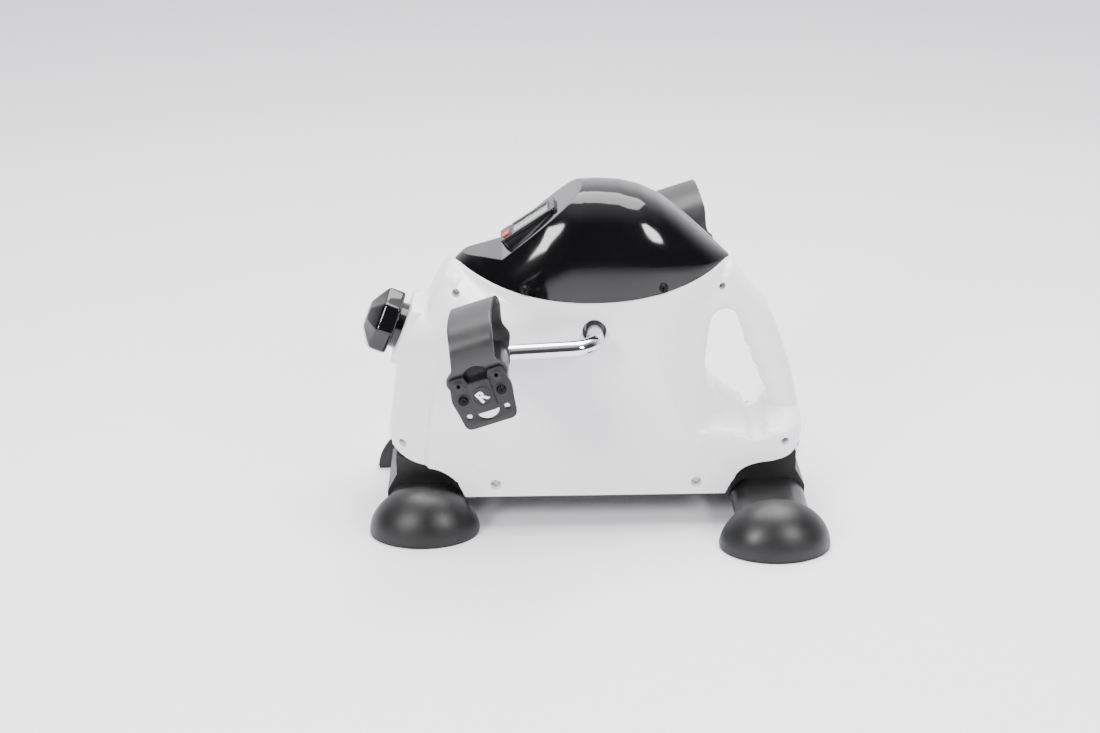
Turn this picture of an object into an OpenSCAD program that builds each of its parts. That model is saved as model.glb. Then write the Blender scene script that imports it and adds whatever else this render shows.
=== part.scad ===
// Pedal exerciser: a small free-standing bike movement with a brake knob and a meter.
// +X runs towards the carrying handle, +Y to the user's left, +Z up.
// The origin is on the floor, under the middle of the whole object.

/* [Body] */
// Half the width of the housing
body_half_w = 60; // [58:1:62]
// Wall of the housing mouldings
wall = 3; // [2.5:0.1:3.2]
// Height of the housing's bottom edge
skirt_z = 28.5; // [28:0.5:29]
// Height of the seam between shells and cover at mid length
seam_z = 193.4; // [192:0.2:195]
// Height of the top of the cover
top_z = 283; // [280:1:286]

/* [Stand] */
// Distance of the user-side tube from the crank axis
user_tube_x = 143; // [142:0.5:144]
// Distance of the handle-side tube from the crank axis
handle_tube_x = 146.7; // [146.2:0.1:147.5]
// Distance from the middle to the cap rims on the user side
user_rim_y = 66; // [65:1:68]
// Distance from the middle to the cap rims on the handle side
handle_rim_y = 104; // [100:1:106]
// Half the width of a foot cap
cap_half_w = 46.3; // [46:0.1:47]
// Height of a foot cap
cap_h = 41.4; // [40:0.2:43]
// How far a foot cap stands out from its rim
cap_depth = 37; // [35:1:39]

/* [Crank] */
// Height of the crank axis
crank_z = 171.5; // [170:0.5:173]
// Crank radius, axis to pedal spindle
crank_r = 90; // [85:1:95]
// Distance of the crank arms from the middle
arm_y = 93; // [92:0.5:95]
// Radius of the bent crank rod
rod_r = 7; // [6.5:0.1:7.2]
// How far the right crank dips below level at rest, in degrees
crank_dip = 2.7; // [0:0.1:4]

/* [Pedals] */
// Distance of the outer face of the end plates from the middle
pedal_out_y = 182; // [180:1:184]
// Distance of the inner face of the pedals from the middle
pedal_in_y = 106; // [106:0.5:108]
// Lean of the pedals at rest, in degrees
pedal_lean = 17.7; // [10:0.1:20]
// Radius of the pedal spindle
spindle_r = 6; // [5.5:0.1:6.2]
// Width of the strap over the foot
strap_w = 35; // [32:1:36]

/* [Resistance] */
// Lean of the knob axis above level, in degrees
knob_lean = 22.5; // [22:0.1:23]
// Radius of the knob over its corners
knob_r = 29.3; // [28:0.1:30]
// Travel of the tension nut from loose to tight
nut_travel = 8; // [6:1:9]

/* [Meter] */
// Lean of the meter's face above level, in degrees
meter_lean = 33.3; // [32:0.1:34]
// Length of the meter case along the slope
meter_l = 53; // [50:1:54]
// Width of the meter case
meter_w = 31; // [30:1:32]

/* [Hidden] */
$fn = 64;

// Running clearance, as a radius, and the gap between pieces that only meet
run = 0.05;
gap = 0.3;

// The seam is an arc that rises by seam_rise at seam_x from the middle
seam_x = 113;
seam_rise = 24.6;
seam_arc_r = (seam_x * seam_x + seam_rise * seam_rise) / (2 * seam_rise);

// Stand
tube_half_w = 31;
tube_r = 15;
tube_z = 18;
tube_wall = 2;
cap_grip = 15;
saddle_top = 58;
bolt_y = 34;
plate_t = 3;

// Drive
sleeve_r = 8;
sleeve_half = 46;
bush_r = 11;
plate_y = 34;
bearing_t = 4;
elbow_r = 20;
end_elbow_r = 10.5;
wheel_r = 48;
band_t = 2;
band_w = 20;
spindle_end_y = 172;

// Knob axis: it starts at the boss ring and runs into the body as local -Z
boss_r = 24.1;
boss_x = -158.3;
boss_z = 158.1;
neck_r = 19.8;
neck_l = 8.7;
head_l = 14;
crown_l = 10.3;
screw_r = 5;
nut_at = 54 + nut_travel;

// How far the wheel's centre lies from the knob axis
axis_off = -boss_x * sin(knob_lean) + (crank_z - boss_z) * cos(knob_lean);
band_off = axis_off - (wheel_r + gap + band_t / 2);

// The handle's half depth, and the height of the ledge under its opening
grip_half = 19.5;
ledge_z = 84;

// Meter: middle of the top face
meter_x = -53.8;
meter_z = 251.6;

function lerp(a, b, t) = a + (b - a) * t;
function seam_at(x) = seam_z + seam_arc_r - sqrt(seam_arc_r * seam_arc_r - x * x);
function cover_half(x) = 53 * pow(max(0, 1 - pow(abs(x) / 114.5, 3)), 0.75);
function section_half(z) = 53 * sqrt(max(0, 1 - pow(max(0, z - 190) / (top_z - 189.8), 2.2)));

// ---------------------------------------------------------------- helpers

// Draws an X-Z outline as a slab from y = y0 to y = y1
module slab(y0, y1) {
    translate([0, y1, 0]) rotate([90, 0, 0]) linear_extrude(y1 - y0) children();
}

module y_rod(x, z, y0, y1, r) {
    translate([x, y0, z]) rotate([-90, 0, 0]) cylinder(h = y1 - y0, r = r);
}

// Places children on the knob axis: local +Z points out of the knob
module knob_axis() {
    translate([boss_x, 0, boss_z]) rotate([0, knob_lean - 90, 0]) children();
}

// Places children on the meter: local +X up the slope, +Z out of its face
module meter_axis() {
    translate([meter_x, 0, meter_z]) rotate([0, -meter_lean, 0]) children();
}

module rounded_box(size, r) {
    x = size[0] / 2 - r;
    y = size[1] / 2 - r;
    linear_extrude(size[2]) union() {
        square([size[0], 2 * y], center = true);
        square([2 * x, size[1]], center = true);
        for (i = [-1, 1], j = [-1, 1]) translate([i * x, j * y]) circle(r);
    }
}

// ---------------------------------------------------------------- housing

module seam_disc(drop) {
    translate([0, seam_z + seam_arc_r]) circle(r = seam_arc_r + drop, $fn = 256);
}

// Side view of the housing without the cover: shoulders, boss and the arches over the tubes
module side_outline() {
    difference() {
        polygon([
            [-108, skirt_z], [-113, 38], [-118, 45], [-127, 51.5], [-137, 55], [-154, 58],
            [-168, 62.5], [-171, 68], [-170.5, 75], [-167, 100], [-165, 116], [-163.5, 128],
            [-158, 143], [-150, 158], [-141, 172], [-136.5, 181], [-129, 197.5], [-122.5, 208],
            [-113.5, 217.5], [0, 250], [113.5, 217.5], [119, 208], [131, 192], [147, 171],
            [158, 143.5], [167, 114.5], [172, 90.5], [173.5, 75], [172, 66], [164, 60.5],
            [150, 56], [136, 54], [124, 49.5], [115, 40], [109, skirt_z]
        ]);
        seam_disc(0);
    }
}

// Opening behind the carrying handle
module handle_hole() {
    polygon([
        [92, 123], [101, 102], [119, 89], [131, 84.5], [142, 87.5], [147, 92], [146.5, 100],
        [143, 115], [137.5, 131], [131.5, 145], [127, 158], [121, 175], [113, 178],
        [102, 175.5], [97, 169], [92, 146]
    ]);
}

// Half the housing's depth at each height, as a section across the body
module cross_section(inset) {
    half = [[body_half_w, 0], [body_half_w, 150], [57, 175], [53.6, 194], [49, 200.5], [34, 210.5], [16, 219]];
    rotate([90, 0, 90]) linear_extrude(400, center = true) offset(delta = -inset) polygon(concat(
        [for (p = half) p],
        [for (i = [len(half) - 1:-1:0]) [-half[i][0], half[i][1]]]
    ));
}

// Half depths shared by both plans: the rounded end that carries the knob
USER_END = [[-172, 25], [-160, 34], [-145, 44], [-130, 52], [-115, 58], [-105, body_half_w]];

module plan(half) {
    polygon(concat(
        [for (p = half) [p[0], -p[1]]],
        [for (i = [len(half) - 1:-1:0]) half[i]]
    ));
}

// Plan above the ledge: it narrows to the depth of a grip at the handle
module upper_plan() {
    plan(concat(USER_END, [
        [55, body_half_w], [68, 55], [80, 44], [95, 30], [106, 22.5], [120, grip_half], [180, grip_half]
    ]));
}

// Plan below the ledge: full depth as far as the handle's foot
module lower_plan() {
    plan(concat(USER_END, [[150, body_half_w], [163, 54], [171, 45], [174, 38]]));
}

// The lower housing is full width over both tubes; inset draws every wall inwards
module housing_solid(inset) {
    difference() {
        intersection() {
            union() {
                slab(-body_half_w, body_half_w) offset(delta = -inset) side_outline();
                knob_axis() translate([0, 0, -60]) cylinder(h = 60 - inset, r = boss_r - inset);
            }
            cross_section(inset);
            union() {
                linear_extrude(ledge_z - inset) offset(delta = -inset) lower_plan();
                translate([0, 0, ledge_z - inset - 1]) linear_extrude(150) {
                    offset(delta = -inset) upper_plan();
                }
            }
        }
        slab(-100, 100) offset(delta = inset) handle_hole();
    }
}

// Screws that join the shells: x, z and the depth of the head's seat from the middle
SHELL_SCREWS = [[-112.5, 200.5, 42], [107, 198, 16], [-159.5, 70, 28], [158.5, 72, 50]];
// Screws that hold the shells to the base frame, and the seat of their heads
BASE_SCREWS = [[-83, 39], [85, 39]];
base_seat = 54.6;

module shell_half(side) {
    difference() {
        union() {
            difference() {
                housing_solid(0);
                housing_solid(wall);
                slab(-body_half_w + wall, body_half_w - wall) bottom_mouth();
                cover_mouth();
                knob_axis() translate([0, 0, -10]) cylinder(h = 30, r = 18);
                y_rod(0, crank_z, -100, 100, 12);
            }
            for (p = SHELL_SCREWS) intersection() {
                y_rod(p[0], p[1], -body_half_w, body_half_w, 6);
                housing_solid(1);
            }
            for (p = BASE_SCREWS) {
                y_rod(p[0], p[1], -58, -52.6, 8);
                y_rod(p[0], p[1], 52.6, 58, 8);
            }
        }
        for (p = SHELL_SCREWS) {
            y_rod(p[0], p[1], -80, -p[2], 4.6);
            y_rod(p[0], p[1], -60, p[2], 1.6);
        }
        for (p = BASE_SCREWS) {
            y_rod(p[0], p[1], -100, 100, 2.6);
            y_rod(p[0], p[1], -100, -base_seat, 6.2);
            y_rod(p[0], p[1], base_seat, 100, 6.2);
        }
        translate([-250, side > 0 ? -200 : 0, -10]) cube([500, 200, 400]);
    }
}

// Opening under the housing, from the inside of one arch to the other
module bottom_mouth() {
    polygon([
        [-105, 20], [-110, 38], [-115, 43], [-125, 48], [-137, 50], [-154, 53], [-167, 58],
        [-167.5, 69], [0, 76], [169.5, 69], [169.5, 60], [150, 51], [136, 49], [122, 46],
        [112, 38], [106, 20]
    ]);
}

// Plan of the cover's lower edge, drawn in from it by inset
module cover_plan(inset) {
    n = 24;
    xs = [for (i = [-n:n]) (114.5 - inset) * sin(90 * i / n)];
    polygon(concat(
        [for (x = xs) [x, -max(0.5, cover_half(x) - inset)]],
        [for (i = [2 * n:-1:0]) [xs[i], max(0.5, cover_half(xs[i]) - inset)]]
    ));
}

module cover_mouth() {
    translate([0, 0, 150]) linear_extrude(150) cover_plan(9);
}

module shell_right() { color("white") shell_half(1); }

module shell_left() { color("white") shell_half(-1); }

cover_screw_x = 56.3;
cover_screw_z = 206.3;
cover_seat = 46.4;

// Side view of the cover: console slope in front, round shoulder behind
module cover_side(inset) {
    intersection() {
        offset(delta = -inset) polygon([
            [-114.5, 219], [-107, 227.3], [-78, 225], [-8, top_z - 0.5], [7, top_z],
            [23, 281.8], [40, 277.5], [56, 269.5], [70, 259.5], [82, 249], [99, 233], [114.5, 219],
            [0, 150]
        ]);
        seam_disc(inset > 0 ? 1 : -0.1);
    }
}

module cover_solid(inset) {
    intersection() {
        slab(-60, 60) cover_side(inset);
        translate([0, 0, 150]) linear_extrude(150) cover_plan(inset);
        rotate([90, 0, 90]) linear_extrude(300, center = true) polygon(concat(
            [for (i = [0:20]) let (z = lerp(190, top_z, i / 20)) [section_half(z) - inset, z - inset]],
            [for (i = [20:-1:0]) let (z = lerp(190, top_z, i / 20)) [inset - section_half(z), z - inset]]
        ));
    }
}

module top_cover() {
    color("#101012") difference() {
        cover_solid(0);
        difference() {
            cover_solid(wall);
            for (x = [-cover_screw_x, cover_screw_x]) {
                y_rod(x, cover_screw_z, -60, -30, 6);
                y_rod(x, cover_screw_z, 30, 60, 6);
            }
        }
        meter_axis() translate([0, 0, -20]) rounded_box([meter_l + 0.4, meter_w + 0.4, 40], 4);
        for (x = [-cover_screw_x, cover_screw_x]) {
            y_rod(x, cover_screw_z, -70, 70, 1.7);
            y_rod(x, cover_screw_z, -70, -cover_seat, 4.4);
            y_rod(x, cover_screw_z, cover_seat, 70, 4.4);
        }
    }
}

module cover_screws() {
    color("#303033") for (x = [-cover_screw_x, cover_screw_x], s = [-1, 1]) scale([1, s, 1]) {
        y_rod(x, cover_screw_z, cover_seat + run, cover_seat + 2, 3.8);
        y_rod(x, cover_screw_z, 32, cover_seat + run, 1.65);
    }
}

module shell_screws() {
    color("#8a8c90") for (p = SHELL_SCREWS) {
        y_rod(p[0], p[1], -p[2] - 2.4, -p[2] - run, 3.6);
        y_rod(p[0], p[1], -p[2] - 0.1, p[2] - 4, 1.55);
    }
}

module base_screws() {
    color("#8a8c90") for (p = BASE_SCREWS, s = [-1, 1]) scale([1, s, 1]) {
        y_rod(p[0], p[1], base_seat + run, base_seat + 2.4, 5.6);
        y_rod(p[0], p[1], 43, base_seat + 0.1, 2.4);
    }
}

// ---------------------------------------------------------------- stand

module tube_outline(grow) {
    x = tube_half_w - tube_r;
    translate([0, tube_z]) union() {
        square([2 * x, 2 * (tube_r + grow)], center = true);
        for (s = [-1, 1]) translate([s * x, 0]) circle(r = tube_r + grow);
    }
}

module stabiliser(x, rim_y) {
    l = rim_y + cap_grip;
    color("#26282b") translate([x, 0, 0]) difference() {
        slab(-l, l) tube_outline(0);
        slab(-l - 1, l + 1) tube_outline(-tube_wall);
        for (s = [-1, 1]) translate([0, s * bolt_y, 0]) cylinder(h = 60, r = 4.2);
    }
}

module stabiliser_user() { stabiliser(-user_tube_x, user_rim_y); }

module stabiliser_handle() { stabiliser(handle_tube_x, handle_rim_y); }

// A quarter dome that stands on its flat underside, with a socket for the tube's end
module foot_cap(x, rim_y, s) {
    color("#0e0e10") translate([x, s * rim_y, 0]) scale([1, s, 1]) difference() {
        intersection() {
            resize([2 * cap_half_w, 2 * cap_depth, 2 * cap_h]) sphere(r = 40, $fn = 48);
            translate([-60, 0, 0]) cube([120, 60, 60]);
        }
        slab(-1, cap_grip + 0.2) tube_outline(0.1);
    }
}

module foot_cap_user_right() { foot_cap(-user_tube_x, user_rim_y, -1); }

module foot_cap_user_left() { foot_cap(-user_tube_x, user_rim_y, 1); }

module foot_cap_handle_right() { foot_cap(handle_tube_x, handle_rim_y, -1); }

module foot_cap_handle_left() { foot_cap(handle_tube_x, handle_rim_y, 1); }

module frame_saddle(x) {
    color("#141416") translate([x, 0, 0]) difference() {
        slab(-44, 44) difference() {
            polygon([
                [-31.6, 14], [-31.6, 27], [-23.5, 42], [-23.5, saddle_top],
                [23.5, saddle_top], [23.5, 42], [31.6, 27], [31.6, 14]
            ]);
            tube_outline(0.1);
            translate([-40, 0]) square([80, 17.9]);
        }
        slab(-41, 41) polygon([[-18, 37], [18, 37], [18, 54], [-18, 54]]);
        for (s = [-1, 1]) translate([0, s * bolt_y, 30]) cylinder(h = 40, r = 4.2);
    }
}

module frame_saddle_user() { frame_saddle(-user_tube_x); }

module frame_saddle_handle() { frame_saddle(handle_tube_x); }

// Pressed plate: low between the tubes, stepped up over both saddles
module base_frame() {
    u = -user_tube_x;
    h = handle_tube_x;
    t = plate_t;
    web = 43;
    z = saddle_top + 0.1;
    color("#141416") difference() {
        union() {
            slab(-46, 46) polygon([
                [u - 12, z], [u - 12, z + t], [u + web, z + t], [u + web, 22 + t],
                [h - web, 22 + t], [h - web, z + t], [h + 16, z + t], [h + 16, z],
                [h - web + t, z], [h - web + t, 22], [u + web - t, 22], [u + web - t, z]
            ]);
            for (s = [-1, 1]) translate([u + web, s * 50 - (s > 0 ? t : 0), 22]) {
                cube([h - u - 2 * web, t, 26]);
            }
            for (s = [-1, 1]) translate([u + web, s * 46.5 - 1, 22]) cube([h - u - 2 * web, 2, t]);
        }
        for (x = [u, h], s = [-1, 1]) translate([x, s * bolt_y, 40]) cylinder(h = 40, r = 4.2);
        for (p = BASE_SCREWS) y_rod(p[0], p[1], -60, 60, 2.45);
        for (x = [-30, 30], s = [-1, 1]) translate([x, s * 24, 10]) cylinder(h = 30, r = 3.1);
        for (y = [-6.5, 6.5]) translate([-84, y, 10]) cylinder(h = 30, r = 2.6);
    }
}

module stabiliser_bolts() {
    color("#8a8c90") for (x = [-user_tube_x, handle_tube_x], s = [-1, 1]) {
        translate([x, s * bolt_y, 5.1]) cylinder(h = 62, r = 4);
        translate([x, s * bolt_y, 5.1]) cylinder(h = 3.5, r = 7, $fn = 6);
    }
}

module stabiliser_nuts() {
    nut_z = saddle_top + 0.2 + plate_t;
    color("#8a8c90") for (x = [-user_tube_x, handle_tube_x], s = [-1, 1]) {
        translate([x, s * bolt_y, nut_z]) difference() {
            cylinder(h = 5.5, r = 7, $fn = 6);
            translate([0, 0, -1]) cylinder(h = 8, r = 4.02);
        }
    }
}

// ---------------------------------------------------------------- drive

// Upright that carries a bush; ear takes the pin that holds the band's fixed end
module bearing_plate(s) {
    color("#2c2f33") scale([1, s, 1]) difference() {
        union() {
            slab(plate_y, plate_y + bearing_t) {
                polygon([[-45, 25.1], [45, 25.1], [22, crank_z], [-22, crank_z]]);
                translate([0, crank_z]) circle(22);
                polygon([[-10, 186], [pin_x + 5, pin_z + 4.9], [pin_x - 5, pin_z - 4.9], [-20, 168]]);
                translate([pin_x, pin_z]) circle(7);
            }
            translate([-45, 16, 25.1]) cube([90, plate_y - 15.9, plate_t]);
        }
        y_rod(0, crank_z, 0, 60, bush_r + 0.02);
        y_rod(pin_x, pin_z, 0, 60, 4.02);
        for (x = [-30, 30]) translate([x, 24, 10]) cylinder(h = 30, r = 3.1);
    }
}

module bearing_plate_right() { bearing_plate(-1); }

module bearing_plate_left() { bearing_plate(1); }

module bush(s) {
    color("#d9d2bf") scale([1, s, 1]) difference() {
        union() {
            y_rod(0, crank_z, plate_y - 1, plate_y + bearing_t + 0.1, bush_r);
            y_rod(0, crank_z, plate_y + bearing_t + 0.1, plate_y + bearing_t + 2.1, 14);
        }
        y_rod(0, crank_z, 0, 60, sleeve_r + run);
    }
}

module bush_right() { bush(-1); }

module bush_left() { bush(1); }

module frame_screws() {
    color("#8a8c90") for (x = [-30, 30], s = [-1, 1]) translate([x, s * 24, 0]) {
        translate([0, 0, 28.2]) cylinder(h = 3.5, r = 5.5, $fn = 6);
        translate([0, 0, 20.5]) cylinder(h = 8, r = 3);
    }
    color("#8a8c90") for (y = [-6.5, 6.5]) translate([-84, y, 0]) {
        translate([0, 0, 28.2]) cylinder(h = 3, r = 4.2, $fn = 6);
        translate([0, 0, 20.5]) cylinder(h = 8, r = 2.5);
    }
}

// Turns children from "crank level towards -X" to the dip at rest; s is -1 for the right side
module crank_frame(s) {
    translate([0, 0, crank_z]) rotate([0, s < 0 ? -crank_dip : 180 - crank_dip, 0]) {
        scale([1, s, 1]) children();
    }
}

module crank(s) {
    arm_end = crank_r - end_elbow_r;
    color("#d5d8dc") crank_frame(s) difference() {
        union() {
            y_rod(0, 0, 12, arm_y - elbow_r, rod_r);
            translate([-elbow_r, arm_y - elbow_r, 0]) {
                rotate_extrude(angle = 90) translate([elbow_r, 0]) circle(rod_r);
            }
            translate([-arm_end, arm_y, 0]) rotate([0, 90, 0]) {
                cylinder(h = arm_end - elbow_r, r = rod_r);
            }
            translate([-arm_end, arm_y + end_elbow_r, 0]) rotate([0, 0, 180]) {
                rotate_extrude(angle = 90) translate([end_elbow_r, 0]) circle(rod_r);
            }
            y_rod(-crank_r, 0, arm_y + end_elbow_r, spindle_end_y, spindle_r);
        }
        translate([0, 24, -20]) cylinder(h = 40, r = 3.02);
        y_rod(-crank_r, 0, spindle_end_y - 14, spindle_end_y + 1, 2.52);
    }
}

module crank_right() { crank(-1); }

module crank_left() { crank(1); }

module axle_sleeve() {
    color("#6e7176") difference() {
        y_rod(0, crank_z, -sleeve_half, sleeve_half, sleeve_r);
        y_rod(0, crank_z, -60, 60, rod_r + 0.02);
        for (s = [-1, 1]) crank_frame(s) translate([0, 24, -20]) cylinder(h = 40, r = 3.02);
    }
}

module cross_bolts() {
    color("#3a3c40") for (s = [-1, 1]) crank_frame(s) translate([0, 24, 0]) {
        translate([0, 0, -10]) cylinder(h = 20, r = 3);
        translate([0, 0, 8.2]) cylinder(h = 4, r = 4.8, $fn = 6);
        translate([0, 0, -12]) cylinder(h = 3.6, r = 4.8, $fn = 6);
    }
}

module brake_wheel() {
    color("#4a4d52") difference() {
        union() {
            difference() {
                y_rod(0, crank_z, -12, 12, wheel_r);
                y_rod(0, crank_z, 3, 20, wheel_r - 5);
                y_rod(0, crank_z, -20, -3, wheel_r - 5);
            }
            y_rod(0, crank_z, -15, 15, 14);
        }
        y_rod(0, crank_z, -30, 30, sleeve_r + 0.02);
        for (a = [0:60:300]) translate([0, 0, crank_z]) rotate([0, a, 0]) y_rod(29, 0, -20, 20, 8);
    }
}

magnet_r = 39;

module magnet() {
    color("#b9bcc0") translate([0, 0, crank_z]) rotate([0, 150, 0]) y_rod(magnet_r, 0, 3.05, 8, 3.5);
}

// Band on the wheel: from the anchor pin over the top and round underneath to the spring
band_r = wheel_r + gap;
band_start = -90 - knob_lean;
band_end = 135;
band_tail = 43.6;
band_mean_r = band_r + band_t / 2;
pin_x = band_mean_r * cos(band_end) - 20 * sin(band_end);
pin_z = crank_z + band_mean_r * sin(band_end) + 20 * cos(band_end);

module band_frame() {
    translate([0, 0, crank_z]) rotate([90, 0, 0]) children();
}

module friction_band() {
    sweep = band_end - band_start;
    color("#6b5f4d") difference() {
        band_frame() translate([0, 0, -band_w / 2]) union() {
            rotate([0, 0, band_start]) rotate_extrude(angle = sweep) {
                translate([band_r, 0]) square([band_t, band_w]);
            }
            rotate([0, 0, band_start]) translate([band_r, -band_tail, 0]) {
                cube([band_t, band_tail + 0.1, band_w]);
            }
            rotate([0, 0, band_end]) translate([band_r, -0.1, 0]) cube([band_t, 26, band_w]);
        }
        band_frame() rotate([0, 0, band_start]) translate([band_r - 5, -band_tail + 5, 0]) {
            rotate([0, 90, 0]) cylinder(h = 12, r = 2);
        }
    }
}

// The pin stands between the bearing plates, slotted for the band's fixed end
module band_anchor_pin() {
    color("#8a8c90") difference() {
        y_rod(pin_x, pin_z, -plate_y - 6, plate_y + 6, 4);
        friction_band_slot();
    }
}

module friction_band_slot() {
    band_frame() rotate([0, 0, band_end]) translate([band_r - 0.2, 0, -band_w / 2 - 0.2]) {
        cube([band_t + 0.4, 30, band_w + 0.4]);
    }
}

// ---------------------------------------------------------------- resistance

// Local frame with +Z towards the knob; the bracket's cheeks guide the square nut
module tension_bracket() {
    color("#2c2f33") difference() {
        union() {
            knob_axis() {
                translate([-14, -14, -16]) cube([28, 28, 3]);
                for (s = [-1, 1]) translate([-11, s * 12.5 - 1.5, -92]) cube([22, 3, 77]);
            }
            for (s = [-1, 1]) translate([-92, s * 12.5 - 1.3, 26]) cube([16, 2.6, 96]);
            translate([-92.5, -14.5, 25.1]) cube([17, 29, 3]);
        }
        knob_axis() translate([0, 0, -100]) cylinder(h = 110, r = screw_r + 0.3);
        for (y = [-6.5, 6.5]) translate([-84, y, 10]) cylinder(h = 30, r = 2.6);
    }
}

module tension_screw() {
    color("#9a9da1") knob_axis() translate([0, 0, -86]) cylinder(h = 110, r = screw_r);
}

module screw_collar() {
    color("#8a8c90") knob_axis() translate([0, 0, -21.5]) difference() {
        cylinder(h = 5.2, r = 9);
        translate([0, 0, -1]) cylinder(h = 8, r = screw_r + 0.02);
    }
}

// Square nut with an arm that reaches the band's line of pull
module tension_nut() {
    color("#b08d3c") knob_axis() translate([0, 0, -nut_at]) difference() {
        union() {
            translate([-9, -10.6, -9]) cube([18, 21.2, 18]);
            translate([8.9, -6, -9]) cube([band_off - 3, 12, 8]);
        }
        translate([0, 0, -20]) cylinder(h = 40, r = screw_r + run);
        translate([band_off, 0, -20]) cylinder(h = 40, r = 2);
    }
}

// Coil spring with an eye in the nut's arm and a bent hook through the band's tail
module band_spring() {
    arm_z = -nut_at - 9;
    hook_z = -102.5;
    coils = 8;
    coil_z = hook_z + 6;
    color("#8a8c90") knob_axis() translate([band_off, 0, 0]) {
        translate([0, 0, arm_z - 10.8]) cylinder(h = 17.5, r = 1.2);
        translate([3.4, 0, hook_z - 1.2]) cylinder(h = 8, r = 1.2);
        translate([-3, 0, hook_z]) rotate([0, 90, 0]) cylinder(h = 6.4, r = 1.2);
        for (i = [0:coils - 1]) translate([0, 0, coil_z + 0.9 + i * 1.9]) {
            rotate_extrude() translate([3.4, 0]) circle(r = 1, $fn = 16);
        }
        translate([0, 0, coil_z + 0.9 + coils * 1.9 - 1.9]) cylinder(h = 1, r = 4.2);
    }
}

module tension_knob() {
    color("#0b0b0d") knob_axis() difference() {
        union() {
            translate([0, 0, 0.4]) cylinder(h = neck_l, r = neck_r);
            translate([0, 0, -4]) cylinder(h = 4.5, r = 17);
            translate([0, 0, neck_l]) cylinder(h = head_l, r = knob_r, $fn = 8);
            translate([0, 0, neck_l + head_l]) cylinder(h = crown_l, r1 = knob_r, r2 = 11, $fn = 8);
        }
        translate([0, 0, -10]) cylinder(h = 34.05, r = screw_r + 0.02);
    }
}

// ---------------------------------------------------------------- pedals

// Pedal frame: origin on the spindle, local +Z up the pedal, local +Y outboard
module pedal_frame(s) {
    spindle = [s * crank_r * cos(crank_dip), 0, crank_z + s * crank_r * sin(crank_dip)];
    translate(spindle) rotate([0, -pedal_lean, 0]) scale([1, s, 1]) children();
}

module pedal_body(s) {
    y0 = pedal_in_y + 3.6;
    y1 = pedal_out_y - 3.6;
    color("#1b1c1e") pedal_frame(s) difference() {
        union() {
            y_rod(0, 0, y0, y1, 11.5);
            y_rod(0, 13, y0, y1, 10.5);
            slab(y0, y1) polygon([[-19, -6], [-21, 2], [-21, 14], [21, 14], [21, 2], [19, -6]]);
        }
        y_rod(0, 0, 90, 190, spindle_r + run);
        y_rod(0, 0, y1 - 12, y1 + 1, 8.2);
        for (u = [-15.2, 15.2]) {
            y_rod(u, 0.8, y1 - 16, y1 + 1, 1.9);
            y_rod(u, 0.8, y0 - 1, y0 + 16, 1.9);
        }
    }
}

module pedal_body_right() { pedal_body(-1); }

module pedal_body_left() { pedal_body(1); }

// Outline of the outer end plate
module end_plate_outline() {
    union() {
        translate([-13.6, -17.3]) circle(7);
        translate([13.6, -17.3]) circle(7);
        translate([-13.6, -24.3]) square([27.2, 12]);
        polygon([[-20.6, -17.5], [-24, 0], [-24, 4], [-20, 19], [20, 19], [24, 4], [24, 0], [20.6, -17.5]]);
        for (s = [-1, 1]) translate([s * 15.2, 12.8]) circle(6.4);
    }
}

module half_moon() {
    intersection() {
        translate([0, -12.8]) scale([1, 0.83]) circle(8.7);
        translate([-12, -30]) square([24, 17.2]);
    }
}

module pedal_end_plate(s) {
    y0 = pedal_out_y - 3.5;
    color("#26272a") pedal_frame(s) difference() {
        union() {
            slab(y0, pedal_out_y) difference() {
                end_plate_outline();
                half_moon();
                for (u = [-1, 1]) {
                    translate([u * 15.1, -13.7]) circle(2.3);
                    translate([u * 15.2, 0.8]) circle(2.1);
                    translate([u * 15.2, 12.8]) circle(1.4);
                }
            }
            slab(y0, pedal_out_y + 2) polygon([[-8.7, -12.8], [-8.7, 13.4], [8.7, 13.4], [8.7, -12.8]]);
        }
        y_rod(0, 0, y0 - 1, y0 + 1.5, 8.2);
    }
}

module pedal_end_plate_right() { pedal_end_plate(-1); }

module pedal_end_plate_left() { pedal_end_plate(1); }

module pedal_inner_plate(s) {
    color("#26272a") pedal_frame(s) slab(pedal_in_y, pedal_in_y + 3.5) difference() {
        polygon([
            [-9, -14.6], [-19, -9], [-22, 0], [-22, 17], [22, 17], [22, 0], [19, -9], [9, -14.6]
        ]);
        circle(rod_r + 1.2);
        for (u = [-15.2, 15.2]) translate([u, 0.8]) circle(2.1);
    }
}

module pedal_inner_plate_right() { pedal_inner_plate(-1); }

module pedal_inner_plate_left() { pedal_inner_plate(1); }

module pedal_screws(s) {
    color("#b9bcc0") pedal_frame(s) for (u = [-15.2, 15.2]) {
        y_rod(u, 0.8, pedal_out_y + 0.05, pedal_out_y + 1.9, 3.9);
        y_rod(u, 0.8, pedal_out_y - 14, pedal_out_y + 0.1, 1.85);
        y_rod(u, 0.8, pedal_in_y - 1.6, pedal_in_y - 0.05, 3.4);
        y_rod(u, 0.8, pedal_in_y - 0.1, pedal_in_y + 14, 1.85);
    }
}

module pedal_screws_right() { pedal_screws(-1); }

module pedal_screws_left() { pedal_screws(1); }

module spindle_screw(s) {
    color("#8a8c90") pedal_frame(s) {
        y_rod(0, 0, spindle_end_y + 0.05, spindle_end_y + 1.5, 7.6);
        y_rod(0, 0, spindle_end_y + 1.45, spindle_end_y + 5, 4.5);
        y_rod(0, 0, spindle_end_y - 12, spindle_end_y + 1.5, 2.5);
    }
}

module spindle_screw_right() { spindle_screw(-1); }

module spindle_screw_left() { spindle_screw(1); }

// Strap: an arch across the pedal with a tab down each end; it stands nearly upright
strap_t = 2.4;
strap_foot_v = 20;
strap_rise = 37;
strap_tilt = 14;

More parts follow.
